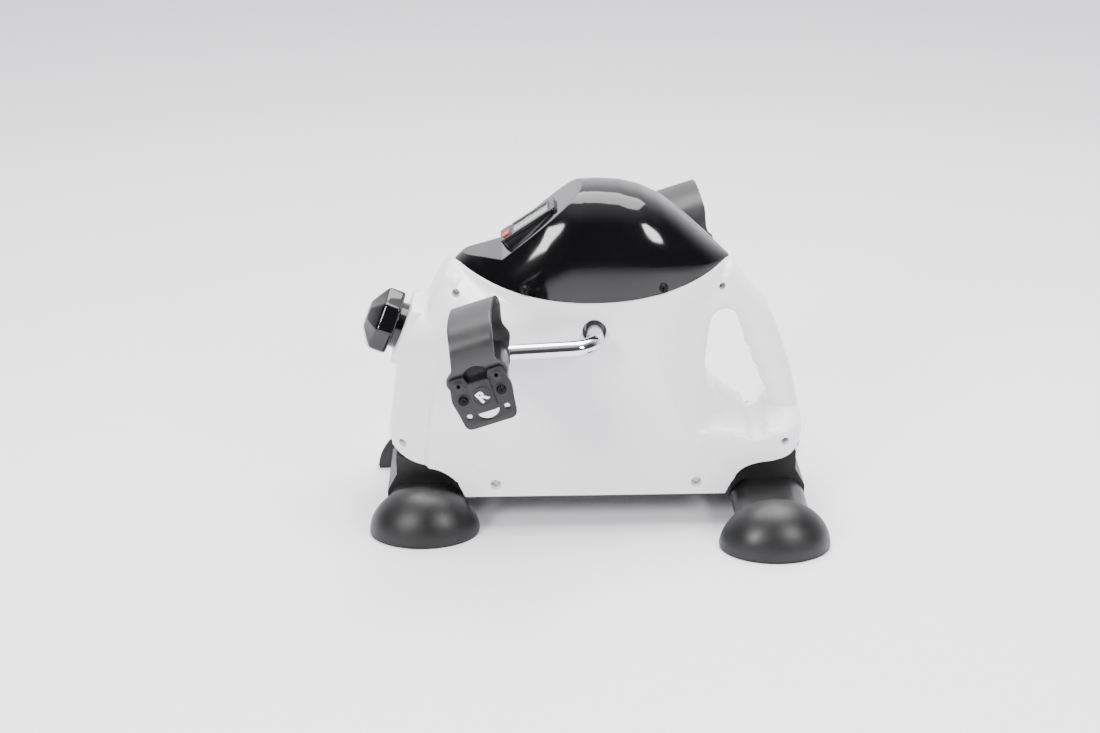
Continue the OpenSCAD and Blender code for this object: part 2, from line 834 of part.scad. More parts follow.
function arch(t, grow) = [
    lerp(pedal_in_y, pedal_out_y, 0.5) - ((pedal_out_y - pedal_in_y) / 2 + grow) * power_cos(t),
    (strap_rise + grow) * power_sin(t)
];
function power_cos(t) = sign(cos(t)) * pow(abs(cos(t)), 0.75);
function power_sin(t) = pow(sin(t), 0.75);

module pedal_strap(s) {
    tab_y = [pedal_in_y - strap_t - 0.1, pedal_out_y + 0.1];
    color("#4d4f52") pedal_frame(s) {
        translate([0, 0, strap_foot_v]) rotate([0, strap_tilt, 0]) {
            rotate([90, 0, 90]) linear_extrude(strap_w, center = true) polygon(concat(
                [for (t = [0:7.5:180]) arch(t, strap_t + 0.1)],
                [for (t = [180:-7.5:0]) arch(t, 0.1)]
            ));
        }
        for (y = tab_y) slab(y, y + strap_t) difference() {
            polygon([
                [-21, 7], [-24.3, 13], [-23.5, 20], [-16.5, 26],
                [18.5, 26], [23.5, 20], [24.3, 13], [21, 7]
            ]);
            translate([0, 10]) circle(10.6);
            translate([-10.6, 0]) square([21.2, 10]);
        }
    }
}

module pedal_strap_right() { pedal_strap(-1); }

module pedal_strap_left() { pedal_strap(1); }

// ---------------------------------------------------------------- meter

button_at = [-20.8, -5, 0];
window_x0 = -14;
window_x1 = 20;

module meter_case() {
    color("#17181a") meter_axis() difference() {
        translate([0, 0, -16]) rounded_box([meter_l, meter_w, 16], 4);
        translate([0, 0, -14]) rounded_box([meter_l - 4, meter_w - 4, 11], 2);
        translate([(window_x0 + window_x1) / 2, 0, -8]) rounded_box([34, 20, 20], 1.5);
        translate(button_at + [0, 0, -8]) rounded_box([6.6, 9.6, 20], 1.5);
        translate([6, 0, -17]) cylinder(h = 4, r = 8);
        translate([-20, 0, -17]) cylinder(h = 4, r = 1.6);
        for (x = [window_x0 - 1.9, window_x1 + 1.9]) translate([x - 0.6, -20, -0.8]) cube([1.2, 40, 2]);
    }
}

module meter_window() {
    color("#c9d6d2") meter_axis() translate([(window_x0 + window_x1) / 2, 0, -1.8]) {
        rounded_box([33.8, 19.8, 1.2], 1.4);
    }
}

module display_panel() {
    color("#a7b3a6") meter_axis() translate([3, 0, -5]) rounded_box([38, 22, 1.6], 0.5);
}

module meter_button() {
    color("#b5121b") meter_axis() translate(button_at) {
        translate([0, 0, -5]) rounded_box([6, 9, 6.2], 1.2);
        translate([0, 0, -5]) rounded_box([7, 10, 1.8], 1);
    }
}

module circuit_board() {
    color("#1d5a38") meter_axis() translate([1, 0, -8.6]) rounded_box([44, 25, 1.6], 0.5);
}

module button_cell() {
    color("#c9ccd0") meter_axis() translate([6, 0, -13.4]) cylinder(h = 4.6, r = 5.8);
}

module battery_lid() {
    color("#17181a") meter_axis() translate([6, 0, -15.9]) cylinder(h = 2.3, r = 7.8);
}

// ---------------------------------------------------------------- sensor

sensor_x = -33;
sensor_z = 150;

module reed_sensor() {
    color("#1b1c1e") {
        translate([sensor_x - 9, 14, sensor_z - 5]) cube([18, 6, 10]);
        translate([sensor_x - 3, 19.9, sensor_z - 2]) cube([6, 14, 4]);
        translate([sensor_x, 30.9, sensor_z - 4]) cube([14, 3, 8]);
    }
}

// The lead runs from the sensor, up past the wheel, to the back of the meter
LEAD = [
    [-42.2, 17, 150], [-46, 18, 152], [-52, 20, 156], [-58, 22, 163], [-62, 23, 172],
    [-64, 23, 182], [-64, 21, 192], [-64, 17, 202], [-62, 11, 211], [-59.5, 4, 218],
    [-59.5, 0, 223.9], [-62.3, 0, 228.1]
];
lead_r = 1.1;
lead_sides = 8;

function unit(v) = v / norm(v);
function lead_dir(i) = unit(LEAD[min(i + 1, len(LEAD) - 1)] - LEAD[max(i - 1, 0)]);
function lead_ring(i) = let (d = lead_dir(i), a = unit(cross(d, [0, 1, 0])), b = cross(d, a)) [
    for (k = [0:lead_sides - 1]) LEAD[i] + lead_r * (cos(k * 45) * a + sin(k * 45) * b)
];

module sensor_lead() {
    n = len(LEAD);
    m = lead_sides;
    color("#1b1c1e") polyhedron(
        points = [for (i = [0:n - 1]) each lead_ring(i)],
        faces = concat(
            [[for (k = [m - 1:-1:0]) k]],
            [for (i = [0:n - 2], k = [0:m - 1]) let (j = (k + 1) % m)
                [i * m + k, i * m + j, (i + 1) * m + j, (i + 1) * m + k]],
            [[for (k = [0:m - 1]) (n - 1) * m + k]]
        )
    );
}

// ---------------------------------------------------------------- nodes

shell_right();
shell_left();
top_cover();
base_frame();
frame_saddle_user();
frame_saddle_handle();
stabiliser_user();
stabiliser_handle();
foot_cap_user_right();
foot_cap_user_left();
foot_cap_handle_right();
foot_cap_handle_left();
stabiliser_bolts();
stabiliser_nuts();
bearing_plate_right();
bearing_plate_left();
bush_right();
bush_left();
frame_screws();
axle_sleeve();
crank_right();
crank_left();
cross_bolts();
brake_wheel();
magnet();
friction_band();
band_anchor_pin();
band_spring();
tension_bracket();
tension_screw();
screw_collar();
tension_nut();
tension_knob();
pedal_body_right();
pedal_body_left();
pedal_end_plate_right();
pedal_end_plate_left();
pedal_inner_plate_right();
pedal_inner_plate_left();
pedal_strap_right();
pedal_strap_left();
pedal_screws_right();
pedal_screws_left();
spindle_screw_right();
spindle_screw_left();
meter_case();
meter_window();
display_panel();
meter_button();
circuit_board();
button_cell();
battery_lid();
reed_sensor();
sensor_lead();
cover_screws();
shell_screws();
base_screws();
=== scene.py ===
# %% [markdown]
# A pedal exerciser is a bicycle crank without the bicycle: a white plastic housing on two
# steel tubes, a brake knob on the end that faces the user, and a small meter on its black cover.
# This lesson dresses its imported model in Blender. Sizes are written in millimetres, because that is
# how such a thing is drawn, and one function turns them into Blender's metres.

# %% Load the frame
import math

import bmesh
import bpy
import numpy as np
from mathutils import Matrix, Vector
from mathutils.geometry import delaunay_2d_cdt, tessellate_polygon


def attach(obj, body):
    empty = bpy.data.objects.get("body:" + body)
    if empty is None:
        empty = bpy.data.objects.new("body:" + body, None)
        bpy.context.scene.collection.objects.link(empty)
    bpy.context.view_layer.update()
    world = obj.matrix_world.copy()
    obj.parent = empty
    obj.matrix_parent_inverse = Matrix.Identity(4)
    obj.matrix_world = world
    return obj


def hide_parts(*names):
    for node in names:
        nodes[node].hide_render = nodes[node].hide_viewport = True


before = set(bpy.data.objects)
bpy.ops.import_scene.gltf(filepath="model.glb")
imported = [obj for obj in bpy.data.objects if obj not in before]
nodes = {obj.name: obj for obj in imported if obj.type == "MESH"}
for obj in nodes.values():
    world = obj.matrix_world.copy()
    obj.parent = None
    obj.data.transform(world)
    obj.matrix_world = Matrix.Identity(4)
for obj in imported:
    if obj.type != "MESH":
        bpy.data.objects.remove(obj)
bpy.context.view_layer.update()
MM = 0.001

# %% [markdown]
# The camera comes first, so that every later choice can be judged through it. It stands about
# 1.7 m off at a seated person's eye height and looks down 21 degrees. It is built from three
# directions, right, up and back, which are the columns of a rotation matrix.

# %% Camera
CAMERA_AT = Vector((-60.2, -1705.4, 775.2)) * MM
yaw, pitch, roll = -0.0143, 0.3665, -0.0092
back = Vector((math.sin(yaw) * math.cos(pitch), -math.cos(yaw) * math.cos(pitch), math.sin(pitch)))
level = (-back).cross(Vector((0, 0, 1))).normalized()
above = level.cross(-back)
right = math.cos(roll) * level + math.sin(roll) * above
up = math.cos(roll) * above - math.sin(roll) * level

camera_data = bpy.data.cameras.new("camera")
camera_data.sensor_width = 36.0
camera_data.lens = 70.36
camera = bpy.data.objects.new("camera", camera_data)
camera.matrix_world = Matrix.Translation(CAMERA_AT) @ Matrix((right, up, back)).transposed().to_4x4()
bpy.context.scene.collection.objects.link(camera)
bpy.context.scene.camera = camera
print("camera looks along", [round(c, 3) for c in -back])

# %% [markdown]
# The studio is a pale sweep of paper under one wide softbox, with weaker panels at both sides.
# Wide sources suit gloss plastic: they draw long soft highlights, not hot dots.

# %% Floor, sky and softboxes
def hex_rgb(text):
    """An sRGB hex colour as linear RGBA."""
    channels = [int(text[i:i + 2], 16) / 255 for i in (1, 3, 5)]
    return [c / 12.92 if c <= 0.04045 else ((c + 0.055) / 1.055) ** 2.4 for c in channels] + [1.0]


def add(tree, kind, inputs=None, **settings):
    """Adds a node; inputs gives its sockets a value or another node's output."""
    node = tree.nodes.new(kind)
    for key, value in settings.items():
        setattr(node, key, value)
    for key, value in (inputs or {}).items():
        if isinstance(value, bpy.types.NodeSocket):
            tree.links.new(value, node.inputs[key])
        else:
            node.inputs[key].default_value = value
    return node


def softbox(name, at, towards, size, watts):
    data = bpy.data.lights.new(name, "AREA")
    data.shape = "RECTANGLE"
    data.size, data.size_y = size
    data.energy = watts
    lamp = bpy.data.objects.new(name, data)
    lamp.location = at
    lamp.rotation_mode = "QUATERNION"
    lamp.rotation_quaternion = (Vector(towards) - Vector(at)).to_track_quat("-Z", "Y")
    bpy.context.scene.collection.objects.link(lamp)


world = bpy.data.worlds.new("studio")
world.use_nodes = True
sky = world.node_tree
looking = add(sky, "ShaderNodeSeparateXYZ", {0: add(sky, "ShaderNodeTexCoord").outputs["Generated"]})
# The sky is bright behind the machine and overhead, and dark where the camera stands.
behind = add(sky, "ShaderNodeMapRange", {
    "Value": looking.outputs["Y"], "From Min": -0.15, "From Max": 0.75,
    "To Min": 0.10, "To Max": 2.4}, interpolation_type="SMOOTHSTEP")
overhead = add(sky, "ShaderNodeMapRange", {
    "Value": looking.outputs["Z"], "From Min": 0.55, "From Max": 1.0,
    "To Min": 0.0, "To Max": 1.2}, interpolation_type="SMOOTHSTEP")
glow = add(sky, "ShaderNodeMath", {0: behind.outputs["Result"], 1: overhead.outputs["Result"]},
           operation="ADD")
sky.nodes["Background"].inputs["Color"].default_value = hex_rgb("#F1F0F5")
sky.links.new(glow.outputs["Value"], sky.nodes["Background"].inputs["Strength"])
bpy.context.scene.world = world
softbox("softbox_top", (0.1, 0.3, 1.9), (0, 0, 0.1), (1.8, 1.3), 88)
softbox("softbox_left", (-1.15, -1.5, 1.15), (0, 0, 0.12), (0.45, 0.7), 40)
softbox("softbox_right", (1.15, -1.5, 1.25), (0, 0, 0.12), (0.35, 0.7), 34)

floor_mesh = bpy.data.meshes.new("floor")
floor_mesh.from_pydata([(-6, -4, 0), (6, -4, 0), (6, 9, 0), (-6, 9, 0)], [], [(0, 1, 2, 3)])
floor = bpy.data.objects.new("floor", floor_mesh)
bpy.context.scene.collection.objects.link(floor)

# %% [markdown]
# Every finish starts from a real material. A moulded or painted surface is never one flat value:
# its colour drifts a little, its gloss is uneven where hands and dust have been, and its relief
# has a size in millimetres. One function joins those three parts. Noise reads Object coordinates,
# in metres, so a grain of 1 mm has a scale of 1000.

# %% A maker for finishes
def finish(name, light, dark, rough, grain_mm, relief, metal=0.0, patch_mm=18.0, coat=0.0):
    """light, dark: the colour's two ends; rough: smoothest and roughest; relief: bump height in mm."""
    material = bpy.data.materials.new(name)
    material.use_nodes = True
    tree = material.node_tree
    shader = tree.nodes["Principled BSDF"]
    shader.inputs["Metallic"].default_value = metal
    shader.inputs["Coat Weight"].default_value = coat
    shader.inputs["Coat Roughness"].default_value = 0.08
    place = add(tree, "ShaderNodeTexCoord").outputs["Object"]
    patches = add(tree, "ShaderNodeTexNoise", {"Vector": place, "Scale": 1000 / patch_mm, "Detail": 4.0})
    grain = add(tree, "ShaderNodeTexNoise", {"Vector": place, "Scale": 1000 / grain_mm, "Detail": 2.0})
    colour = add(tree, "ShaderNodeMix", {"Factor": patches.outputs["Fac"]}, data_type="RGBA")
    colour.inputs["A"].default_value = hex_rgb(dark)
    colour.inputs["B"].default_value = hex_rgb(light)
    gloss = add(tree, "ShaderNodeMapRange", {
        "Value": patches.outputs["Fac"], "From Min": 0.3, "From Max": 0.7,
        "To Min": rough[0], "To Max": rough[1]})
    bump = add(tree, "ShaderNodeBump", {
        "Height": grain.outputs["Fac"], "Distance": relief * MM, "Strength": 1.0})
    tree.links.new(colour.outputs["Result"], shader.inputs["Base Color"])
    tree.links.new(gloss.outputs["Result"], shader.inputs["Roughness"])
    tree.links.new(bump.outputs["Normal"], shader.inputs["Normal"])
    return material

# %% [markdown]
# The plastics. The shells are ABS from a polished mould: near white, glossy, with a very slight
# waviness that bends reflections. The cover and knob are the same plastic in black. The foot caps
# and the pedal plates come from textured moulds, so their light spreads into a soft sheen.

# %% Plastics
# Gloss ABS: a 9 mm waviness, far too shallow to see except in a reflection.
white_abs = finish("white_abs_gloss", "#EDEDEF", "#E8E8EB", (0.17, 0.26), 9.0, 0.010, patch_mm=40)
black_abs = finish("black_abs_gloss", "#0B0B0D", "#060607", (0.07, 0.13), 11.0, 0.008, patch_mm=30)
# Polypropylene from a spark-eroded mould: its 0.4 mm grain is drawn at 0.9 mm to show.
cap_pp = finish("cap_textured_polypropylene", "#0D0D0E", "#080809", (0.36, 0.47), 0.9, 0.045)
# Glass-filled nylon: a stiffer, greyer plastic with a dull skin.
plate_nylon = finish("pedal_glass_filled_nylon", "#0E0E0F", "#09090A", (0.36, 0.5), 1.1, 0.05)
# Soft TPU strap: satin, a little lighter and darker in small patches.
strap_tpu = finish("strap_satin_tpu", "#2B2B2C", "#222223", (0.36, 0.48), 0.8, 0.035, patch_mm=9)
red_abs = finish("red_button_abs", "#C3121D", "#A60D17", (0.25, 0.35), 2.0, 0.01)
letter_paint = finish("white_pad_print", "#F4F4F2", "#E6E6E3", (0.45, 0.6), 0.8, 0.02)
lcd_panel = finish("lcd_grey_polariser", "#A9B2A6", "#98A196", (0.30, 0.42), 1.5, 0.004, patch_mm=12)
case_abs = finish("meter_case_satin_abs", "#121213", "#0C0C0D", (0.2, 0.3), 0.9, 0.02)
nylon_bush = finish("bush_natural_nylon", "#DDD6C4", "#CBC3AE", (0.45, 0.6), 2.0, 0.03)
board_green = finish("board_solder_mask", "#1F6B41", "#17512F", (0.3, 0.45), 1.5, 0.03)

# %% [markdown]
# The metals. Powder coat is baked paint powder, so its skin has the fine dimples of orange peel.
# The crank is bright chrome on polished rod. Screws and nuts are zinc plated, which is duller and
# slightly mottled.

# %% Metals, paint and the rest
tube_paint = finish("tube_satin_powder_coat", "#1F1F20", "#19191A", (0.34, 0.44), 1.6, 0.03)
frame_paint = finish("frame_black_powder_coat", "#131314", "#0D0D0E", (0.45, 0.55), 1.6, 0.04)
chrome = finish("crank_bright_chrome", "#E6E7EA", "#D9DBDF", (0.04, 0.09), 14.0, 0.01, metal=1.0)
zinc = finish("zinc_plated_steel", "#B4B6BA", "#94979C", (0.26, 0.42), 1.2, 0.02, metal=1.0, patch_mm=5)
turned_steel = finish("turned_steel", "#8E9196", "#7B7E83", (0.3, 0.45), 0.8, 0.02, metal=1.0)
cast_iron = finish("wheel_cast_iron", "#5C5F64", "#484B50", (0.5, 0.7), 1.8, 0.12, metal=1.0)
brass = finish("nut_brass", "#C9A35A", "#AE8A45", (0.3, 0.45), 1.0, 0.02, metal=1.0)
felt = finish("band_felt", "#7A6C57", "#5E5342", (0.85, 0.95), 0.9, 0.2, patch_mm=6)
paper = finish("studio_paper", "#F0EFF3", "#EDECF0", (0.55, 0.65), 4.0, 0.01, patch_mm=900)
floor.data.materials.append(paper)

# %% [markdown]
# The display window is a clear acrylic sheet: all the light passes, and only its gloss shows.

# %% Clear window
window_acrylic = finish("window_clear_acrylic", "#FFFFFF", "#F7FAF8", (0.03, 0.06), 12.0, 0.004)
window_acrylic.node_tree.nodes["Principled BSDF"].inputs["Transmission Weight"].default_value = 1.0
window_acrylic.node_tree.nodes["Principled BSDF"].inputs["IOR"].default_value = 1.49

# %% [markdown]
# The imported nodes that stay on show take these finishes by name. Most of them are inside the
# housing, but a look up from below, or through the crank hole, finds them.

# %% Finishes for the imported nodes
NODE_FINISH = {
    frame_paint: ["base_frame", "frame_saddle_user", "frame_saddle_handle", "bearing_plate_right",
                  "bearing_plate_left", "tension_bracket"],
    zinc: ["stabiliser_bolts", "stabiliser_nuts", "frame_screws", "cross_bolts", "band_anchor_pin",
           "band_spring", "screw_collar", "spindle_screw_right", "spindle_screw_left", "button_cell",
           "shell_screws", "base_screws", "cover_screws", "pedal_screws_right", "pedal_screws_left"],
    turned_steel: ["axle_sleeve", "tension_screw", "magnet"],
    nylon_bush: ["bush_right", "bush_left"],
    cast_iron: ["brake_wheel"],
    felt: ["friction_band"],
    brass: ["tension_nut"],
    board_green: ["circuit_board"],
    lcd_panel: ["display_panel"],
    window_acrylic: ["meter_window"],
    cap_pp: ["battery_lid", "reed_sensor", "sensor_lead", "foot_cap_user_right", "foot_cap_user_left",
             "foot_cap_handle_right", "foot_cap_handle_left"],
    tube_paint: ["stabiliser_user", "stabiliser_handle"],
    chrome: ["crank_right", "crank_left"],
    white_abs: ["shell_right", "shell_left"],
    black_abs: ["top_cover", "tension_knob"],
    case_abs: ["meter_case"],
    red_abs: ["meter_button"],
    plate_nylon: ["pedal_body_right", "pedal_body_left", "pedal_end_plate_right", "pedal_end_plate_left",
                  "pedal_inner_plate_right", "pedal_inner_plate_left"],
    strap_tpu: ["pedal_strap_right", "pedal_strap_left"],
}
for material, names in NODE_FINISH.items():
    for name in names:
        slots = nodes[name].data.materials
        slots.clear()
        slots.append(material)
unpainted = sorted(set(nodes) - {n for names in NODE_FINISH.values() for n in names})
print("nodes without a finish:", unpainted)

# %% [markdown]
# A new piece is made in the same few steps each time: corners in millimetres, faces, doubles
# merged, faces turned outwards, smooth shading with sharp edges kept, a material, and a body to
# ride on. Modifiers are settled into a plain mesh before it rides.

# %% Making a piece
def make_piece(name, corners, faces, material, crease=34.0, modifiers=()):
    """A mesh object from corners in mm; modifiers are (kind, settings) pairs, settled at once."""
    mesh = bpy.data.meshes.new(name)
    mesh.from_pydata([tuple(c) for c in np.asarray(corners, float) * MM], [], faces)
    tidy = bmesh.new()
    tidy.from_mesh(mesh)
    bmesh.ops.remove_doubles(tidy, verts=tidy.verts, dist=0.00001)
    bmesh.ops.dissolve_degenerate(tidy, edges=tidy.edges, dist=0.000005)
    bmesh.ops.recalc_face_normals(tidy, faces=tidy.faces)
    tidy.to_mesh(mesh)
    tidy.free()
    mesh.materials.append(material)
    piece = bpy.data.objects.new(name, mesh)
    bpy.context.scene.collection.objects.link(piece)
    for kind, settings in modifiers:
        modifier = piece.modifiers.new(kind.lower(), kind)
        for key, value in settings.items():
            setattr(modifier, key, value)
    if modifiers:
        settle(piece)
    piece.data.shade_smooth()
    piece.data.set_sharp_from_angle(angle=math.radians(crease))
    return piece


def settle(piece):
    """Turns what the modifiers give into the piece's own mesh and removes them."""
    view = bpy.context.evaluated_depsgraph_get()
    view.update()
    solid = bpy.data.meshes.new_from_object(piece.evaluated_get(view), depsgraph=view)
    piece.modifiers.clear()
    piece.data = solid


def joined(parts):
    """Several (corners, faces) pairs as one."""
    corners, faces = [], []
    for part_corners, part_faces in parts:
        faces += [tuple(len(corners) + i for i in face) for face in part_faces]
        corners += list(part_corners)
    return corners, faces


def keep(piece, body, slot, *stands_for):
    """The piece rides on a body and stands for CAD nodes; slot is not used."""
    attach(piece, body)
    if stands_for:
        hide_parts(*stands_for)
    print(f"{piece.name}: {len(piece.data.polygons)} faces on {body}")
    return piece

# %% [markdown]
# The housing is two mirror-image shells that meet on the middle plane. Seen from the side each one
# is an outline with a handle opening; its depth changes from place to place. So a shell can be
# described as a height field: for every point of the side view, how far out the plastic stands.
# First come the curves it needs: a smooth line through a few points, and a value that eases
# from one straight run into the next.

# %% Curves through points
def smooth_line(points, step=2.0, closed=False):
    """Points every step mm on a Catmull-Rom curve through the given ones."""
    p = [np.array(q, float) for q in points]
    p = [p[-1], *p, p[0], p[1]] if closed else [2 * p[0] - p[1], *p, 2 * p[-1] - p[-2]]
    out = []
    for a, b, c, d in zip(p, p[1:], p[2:], p[3:]):
        n = max(1, round(np.linalg.norm(c - b) / step))
        for t in np.arange(n) / n:
            out.append(0.5 * (2 * b + (c - a) * t + (2 * a - 5 * b + 4 * c - d) * t**2
                              + (3 * b - a - 3 * c + d) * t**3))
    return np.array(out if closed else out + [p[-2]])


def straight_line(a, b, step=2.0):
    n = max(1, round(math.dist(a, b) / step))
    return np.linspace(a, b, n + 1)


def eased(points, width):
    """A function through points, with its corners rounded over width."""
    x, y = np.array(points, float).T
    grid = np.arange(x[0] - 4 * width, x[-1] + 4 * width, width / 8)
    bell = np.exp(-0.5 * (np.arange(-16, 17) / 5) ** 2)
    flat = np.interp(np.concatenate([grid[:16], grid, grid[-16:]]), x, y)
    soft = np.convolve(flat, bell / bell.sum(), "same")[16:-16]
    return lambda t: np.interp(t, grid, soft)


MIDDLE = 0.15  # half the hairline between the shells
SEAM_R = (113**2 + 24.6**2) / (2 * 24.6)
CRANK_Z = 171.5


def seam(x):
    """Height of the joint between shells and cover."""
    return 193.4 + SEAM_R - np.sqrt(SEAM_R**2 - np.asarray(x, float) ** 2)


def cover_half(x):
    """Half width of the cover where it meets the shells."""
    return 53 * np.clip(1 - (np.abs(x) / 114.5) ** 3, 0, 1) ** 0.75


print("seam rises from", seam(0.0), "to", float(seam(113)))

# %% [markdown]
# The outline is drawn run by run, because each run ends differently. Round the knob end and the
# handle the plastic turns inwards to the middle plane, with an edge radius; the arches, the skirt
# and the seam stay open. The boss that carries the knob is a short cylinder 22.5 degrees up.

# %% Outline of a shell
LEAN = math.radians(22.5)
BOSS_OUT = np.array([-math.cos(LEAN), math.sin(LEAN)])
BOSS_UP = np.array([math.sin(LEAN), math.cos(LEAN)])
BOSS_AT, BOSS_R = np.array([-158.3, 158.1]), 24.1
ring_top, ring_low = BOSS_AT + BOSS_R * BOSS_UP, BOSS_AT - BOSS_R * BOSS_UP
seam_x = np.linspace(113.5, -113.5, 110)
RUNS = [  # points, edge radius (None where the run stays open)
    (straight_line((-108.5, 28.5), (109, 28.5)), None),
    (smooth_line([(109, 28.5), (115, 40), (124, 49.5), (136, 54), (150, 56), (164, 60.5), (172, 66)]), None),
    (smooth_line([(172, 66), (173.5, 75), (172, 90.5), (167, 114.5), (158, 143.5), (147, 171),
                  (131, 192), (119, 208), (113.5, seam(113.5))]), 13.0),
    (np.column_stack([seam_x, seam(seam_x)]), None),
    (smooth_line([(-113.5, seam(113.5)), (-122.5, 208), (-130, 195.5), (-135.5, 184), (-138.2, 175.9)]), 12.0),
    (straight_line((-138.2, 175.9), ring_top), 0.0),
    (straight_line(ring_top, ring_low, 1.5), 1.2),
    (straight_line(ring_low, (-163.9, 134.3)), 0.0),
    (smooth_line([(-163.9, 134.3), (-163.2, 128), (-164.6, 116), (-166.6, 100), (-170.5, 76),
                  (-171, 69), (-168, 62.5)]), 12.0),
    (smooth_line([(-168, 62.5), (-154, 58), (-137, 55), (-127, 51.5), (-118, 45), (-113, 38),
                  (-108.5, 28.5)]), None),
]
outline = np.concatenate([run[:-1] for run, _ in RUNS])
edge_radius = np.concatenate([np.full(len(run) - 1, -1.0 if r is None else r) for run, r in RUNS])

# The opening behind the handle; four shallow waves on its outer side seat the fingers.
hole_run = smooth_line([(92, 123), (100.5, 103), (110, 94.5), (118, 88.5), (123.5, 84.5), (128.5, 80.8),
                        (134, 79.3), (140, 80.8), (145.5, 84.5), (149.5, 89.5), (150, 96), (148, 105),
                        (143.8, 116), (137.5, 131), (132, 145), (127, 158), (121.5, 172), (113, 178),
                        (103, 176), (97, 169), (93, 147)], 1.6, closed=True)
waves = np.clip((hole_run[:, 1] - 98) / 8, 0, 1) * np.clip((164 - hole_run[:, 1]) / 8, 0, 1)
waves *= hole_run[:, 0] > 120
hole_run[:, 0] += 1.3 * waves * np.cos((hole_run[:, 1] - 104) * 2 * math.pi / 17)
hole_radius = np.where(hole_run[:, 0] > 118, 11.5, 7.0)
print("outline points:", len(outline), "opening points:", len(hole_run))

# %% [markdown]
# Now the depth. Across the body the section is upright and leans in above the crank. Along it,
# a raised centre panel ends in a crisp step towards the knob and in a soft fold towards the handle,
# where the body thins to a grip. Below a ledge, the foot of the handle keeps its full depth.
# A thin arched groove and a bevel mark off the plain lower panel.

# %% Depth of a shell
section = eased([(0, 60), (150, 60), (175, 57), (194, 53.8), (200.5, 49.6), (210.5, 36), (219, 18)], 4)
STEP = [(-137.5, 52), (-133, 100), (-127, 131), (-119, 161.5), (-112, 179), (-100, 196), (-88, 205)]
FOLD = [(50, 205), (50.5, 163), (56, 137), (66, 106), (79, 79), (87, 71.5), (115, 40), (122, 30)]
GROOVE = [(-113.5, 42), (-96, 62), (-74.5, 81), (-45, 96), (-21, 102), (0, 103), (21, 101), (45.5, 94),
          (70.5, 82), (87, 71.5)]
step_line, fold_line = smooth_line(STEP, 2.2), smooth_line(FOLD, 2.2)
groove_line = smooth_line(GROOVE, 2.2)
front_x = eased([(60, -170), (100, -166), (130, -163), (160, -156), (180, -137), (218, -114)], 4)
step_height = eased([(50, 5.0), (130, 3.6), (175, 2.2), (205, 0.6)], 6)
thinning = eased([(-6, 1), (0, 1), (12, 0.84), (30, 0.40), (45, 0.13), (60, 0.02), (130, 0.0)], 3)
GRIP_HALF = 19.5


def smooth_step(t):
    t = np.clip(t, 0, 1)
    return t * t * (3 - 2 * t)


def side_of(line, z):
    return np.interp(z, line[:, 1], line[:, 0]) if line[0, 1] < line[-1, 1] else \
        np.interp(z, line[::-1, 1], line[::-1, 0])


def depth(x, z):
    """Half depth of the housing at each point of the side view, before its edges are rounded."""
    full = section(z)
    left = side_of(step_line, z) - x
    reach = np.maximum(side_of(step_line, z) - front_x(z), 12)
    towards_knob = full - step_height(z) - (full - 33) * np.clip(left / reach, 0, 1.1) ** 1.8
    beyond = x - side_of(fold_line, z)
    upper = GRIP_HALF + (full - GRIP_HALF) * thinning(beyond)
    upper -= 0.7 * (1 - np.clip(beyond / 40, 0, 1))
    foot = full - 3.0 * smooth_step((beyond + 0.5) / 5) - 0.03 * np.clip(beyond, 0, 90)
    foot -= 14 * smooth_step((x - 150) / 26) ** 2
    towards_handle = foot + (upper - foot) * smooth_step((z - 77.5) / 11)
    h = np.where(left > 0.3, towards_knob, np.where(beyond > 0.3, towards_handle, full))
    rim = np.clip(x, -113, 113)
    below = smooth_step(1 - (seam(rim) - z) / (5 + 0.6 * cover_half(rim)))
    h += below * (cover_half(rim) + 0.9 - h) * (np.abs(x) < 125)
    offset = np.stack([x, z], -1) - BOSS_AT
    out, across = offset @ BOSS_OUT, offset @ BOSS_UP
    boss = np.sqrt(np.clip(BOSS_R**2 - across**2, 0, None)) - 60 * np.clip((-out - 42) / 20, 0, 1)
    blend = np.clip(0.5 + (boss - h) / 10, 0, 1)
    merged = h + (boss - h) * blend + 2.5 * blend * (1 - blend) * 2
    return np.where(out > -46, np.where(np.abs(across) > BOSS_R, h, merged), h)


print("depth at the crank:", float(depth(np.array([0.0]), np.array([CRANK_Z]))[0]))

# %% [markdown]
# The mesh is a triangulation that is made to respect the lines that must stay crisp: the outline,
# the step, the groove and the rims of the screw wells. Rows of points just inside each rounded
# edge let the plastic turn smoothly, and a plain grid fills what is left.

# %% Lines and points for the mesh
WELLS = [  # x, z, radius, how deep: four screws that join the shells, two that hold the base
    (-112.5, 200.5, 4.6, 13.0), (107, 198, 4.6, 10.5), (-159.5, 70, 4.6, 13.0), (158.5, 72, 4.6, 14.0),
    (-83, 39, 6.2, 8.0), (85, 39, 6.2, 8.0)]
CRANK_HOLE_R = 12.0


def circle_points(x, z, r, n):
    a = np.arange(n) * 2 * math.pi / n
    return np.column_stack([x + r * np.cos(a), z + r * np.sin(a)])


def away(points, lines):
    """Distance from each point to the nearest point of lines."""
    out = np.full(len(points), 1e9)
    for part in np.array_split(np.asarray(lines), max(1, len(lines) // 200)):
        out = np.minimum(out, np.sqrt(((points[:, None] - part[None]) ** 2).sum(2)).min(1))
    return out


def shifted(line, by):
    """A line moved sideways by a distance, to its left as it runs."""
    along = np.gradient(line, axis=0)
    along /= np.linalg.norm(along, axis=1)[:, None]
    return line + np.column_stack([-along[:, 1], along[:, 0]]) * np.reshape(by, (-1, 1))


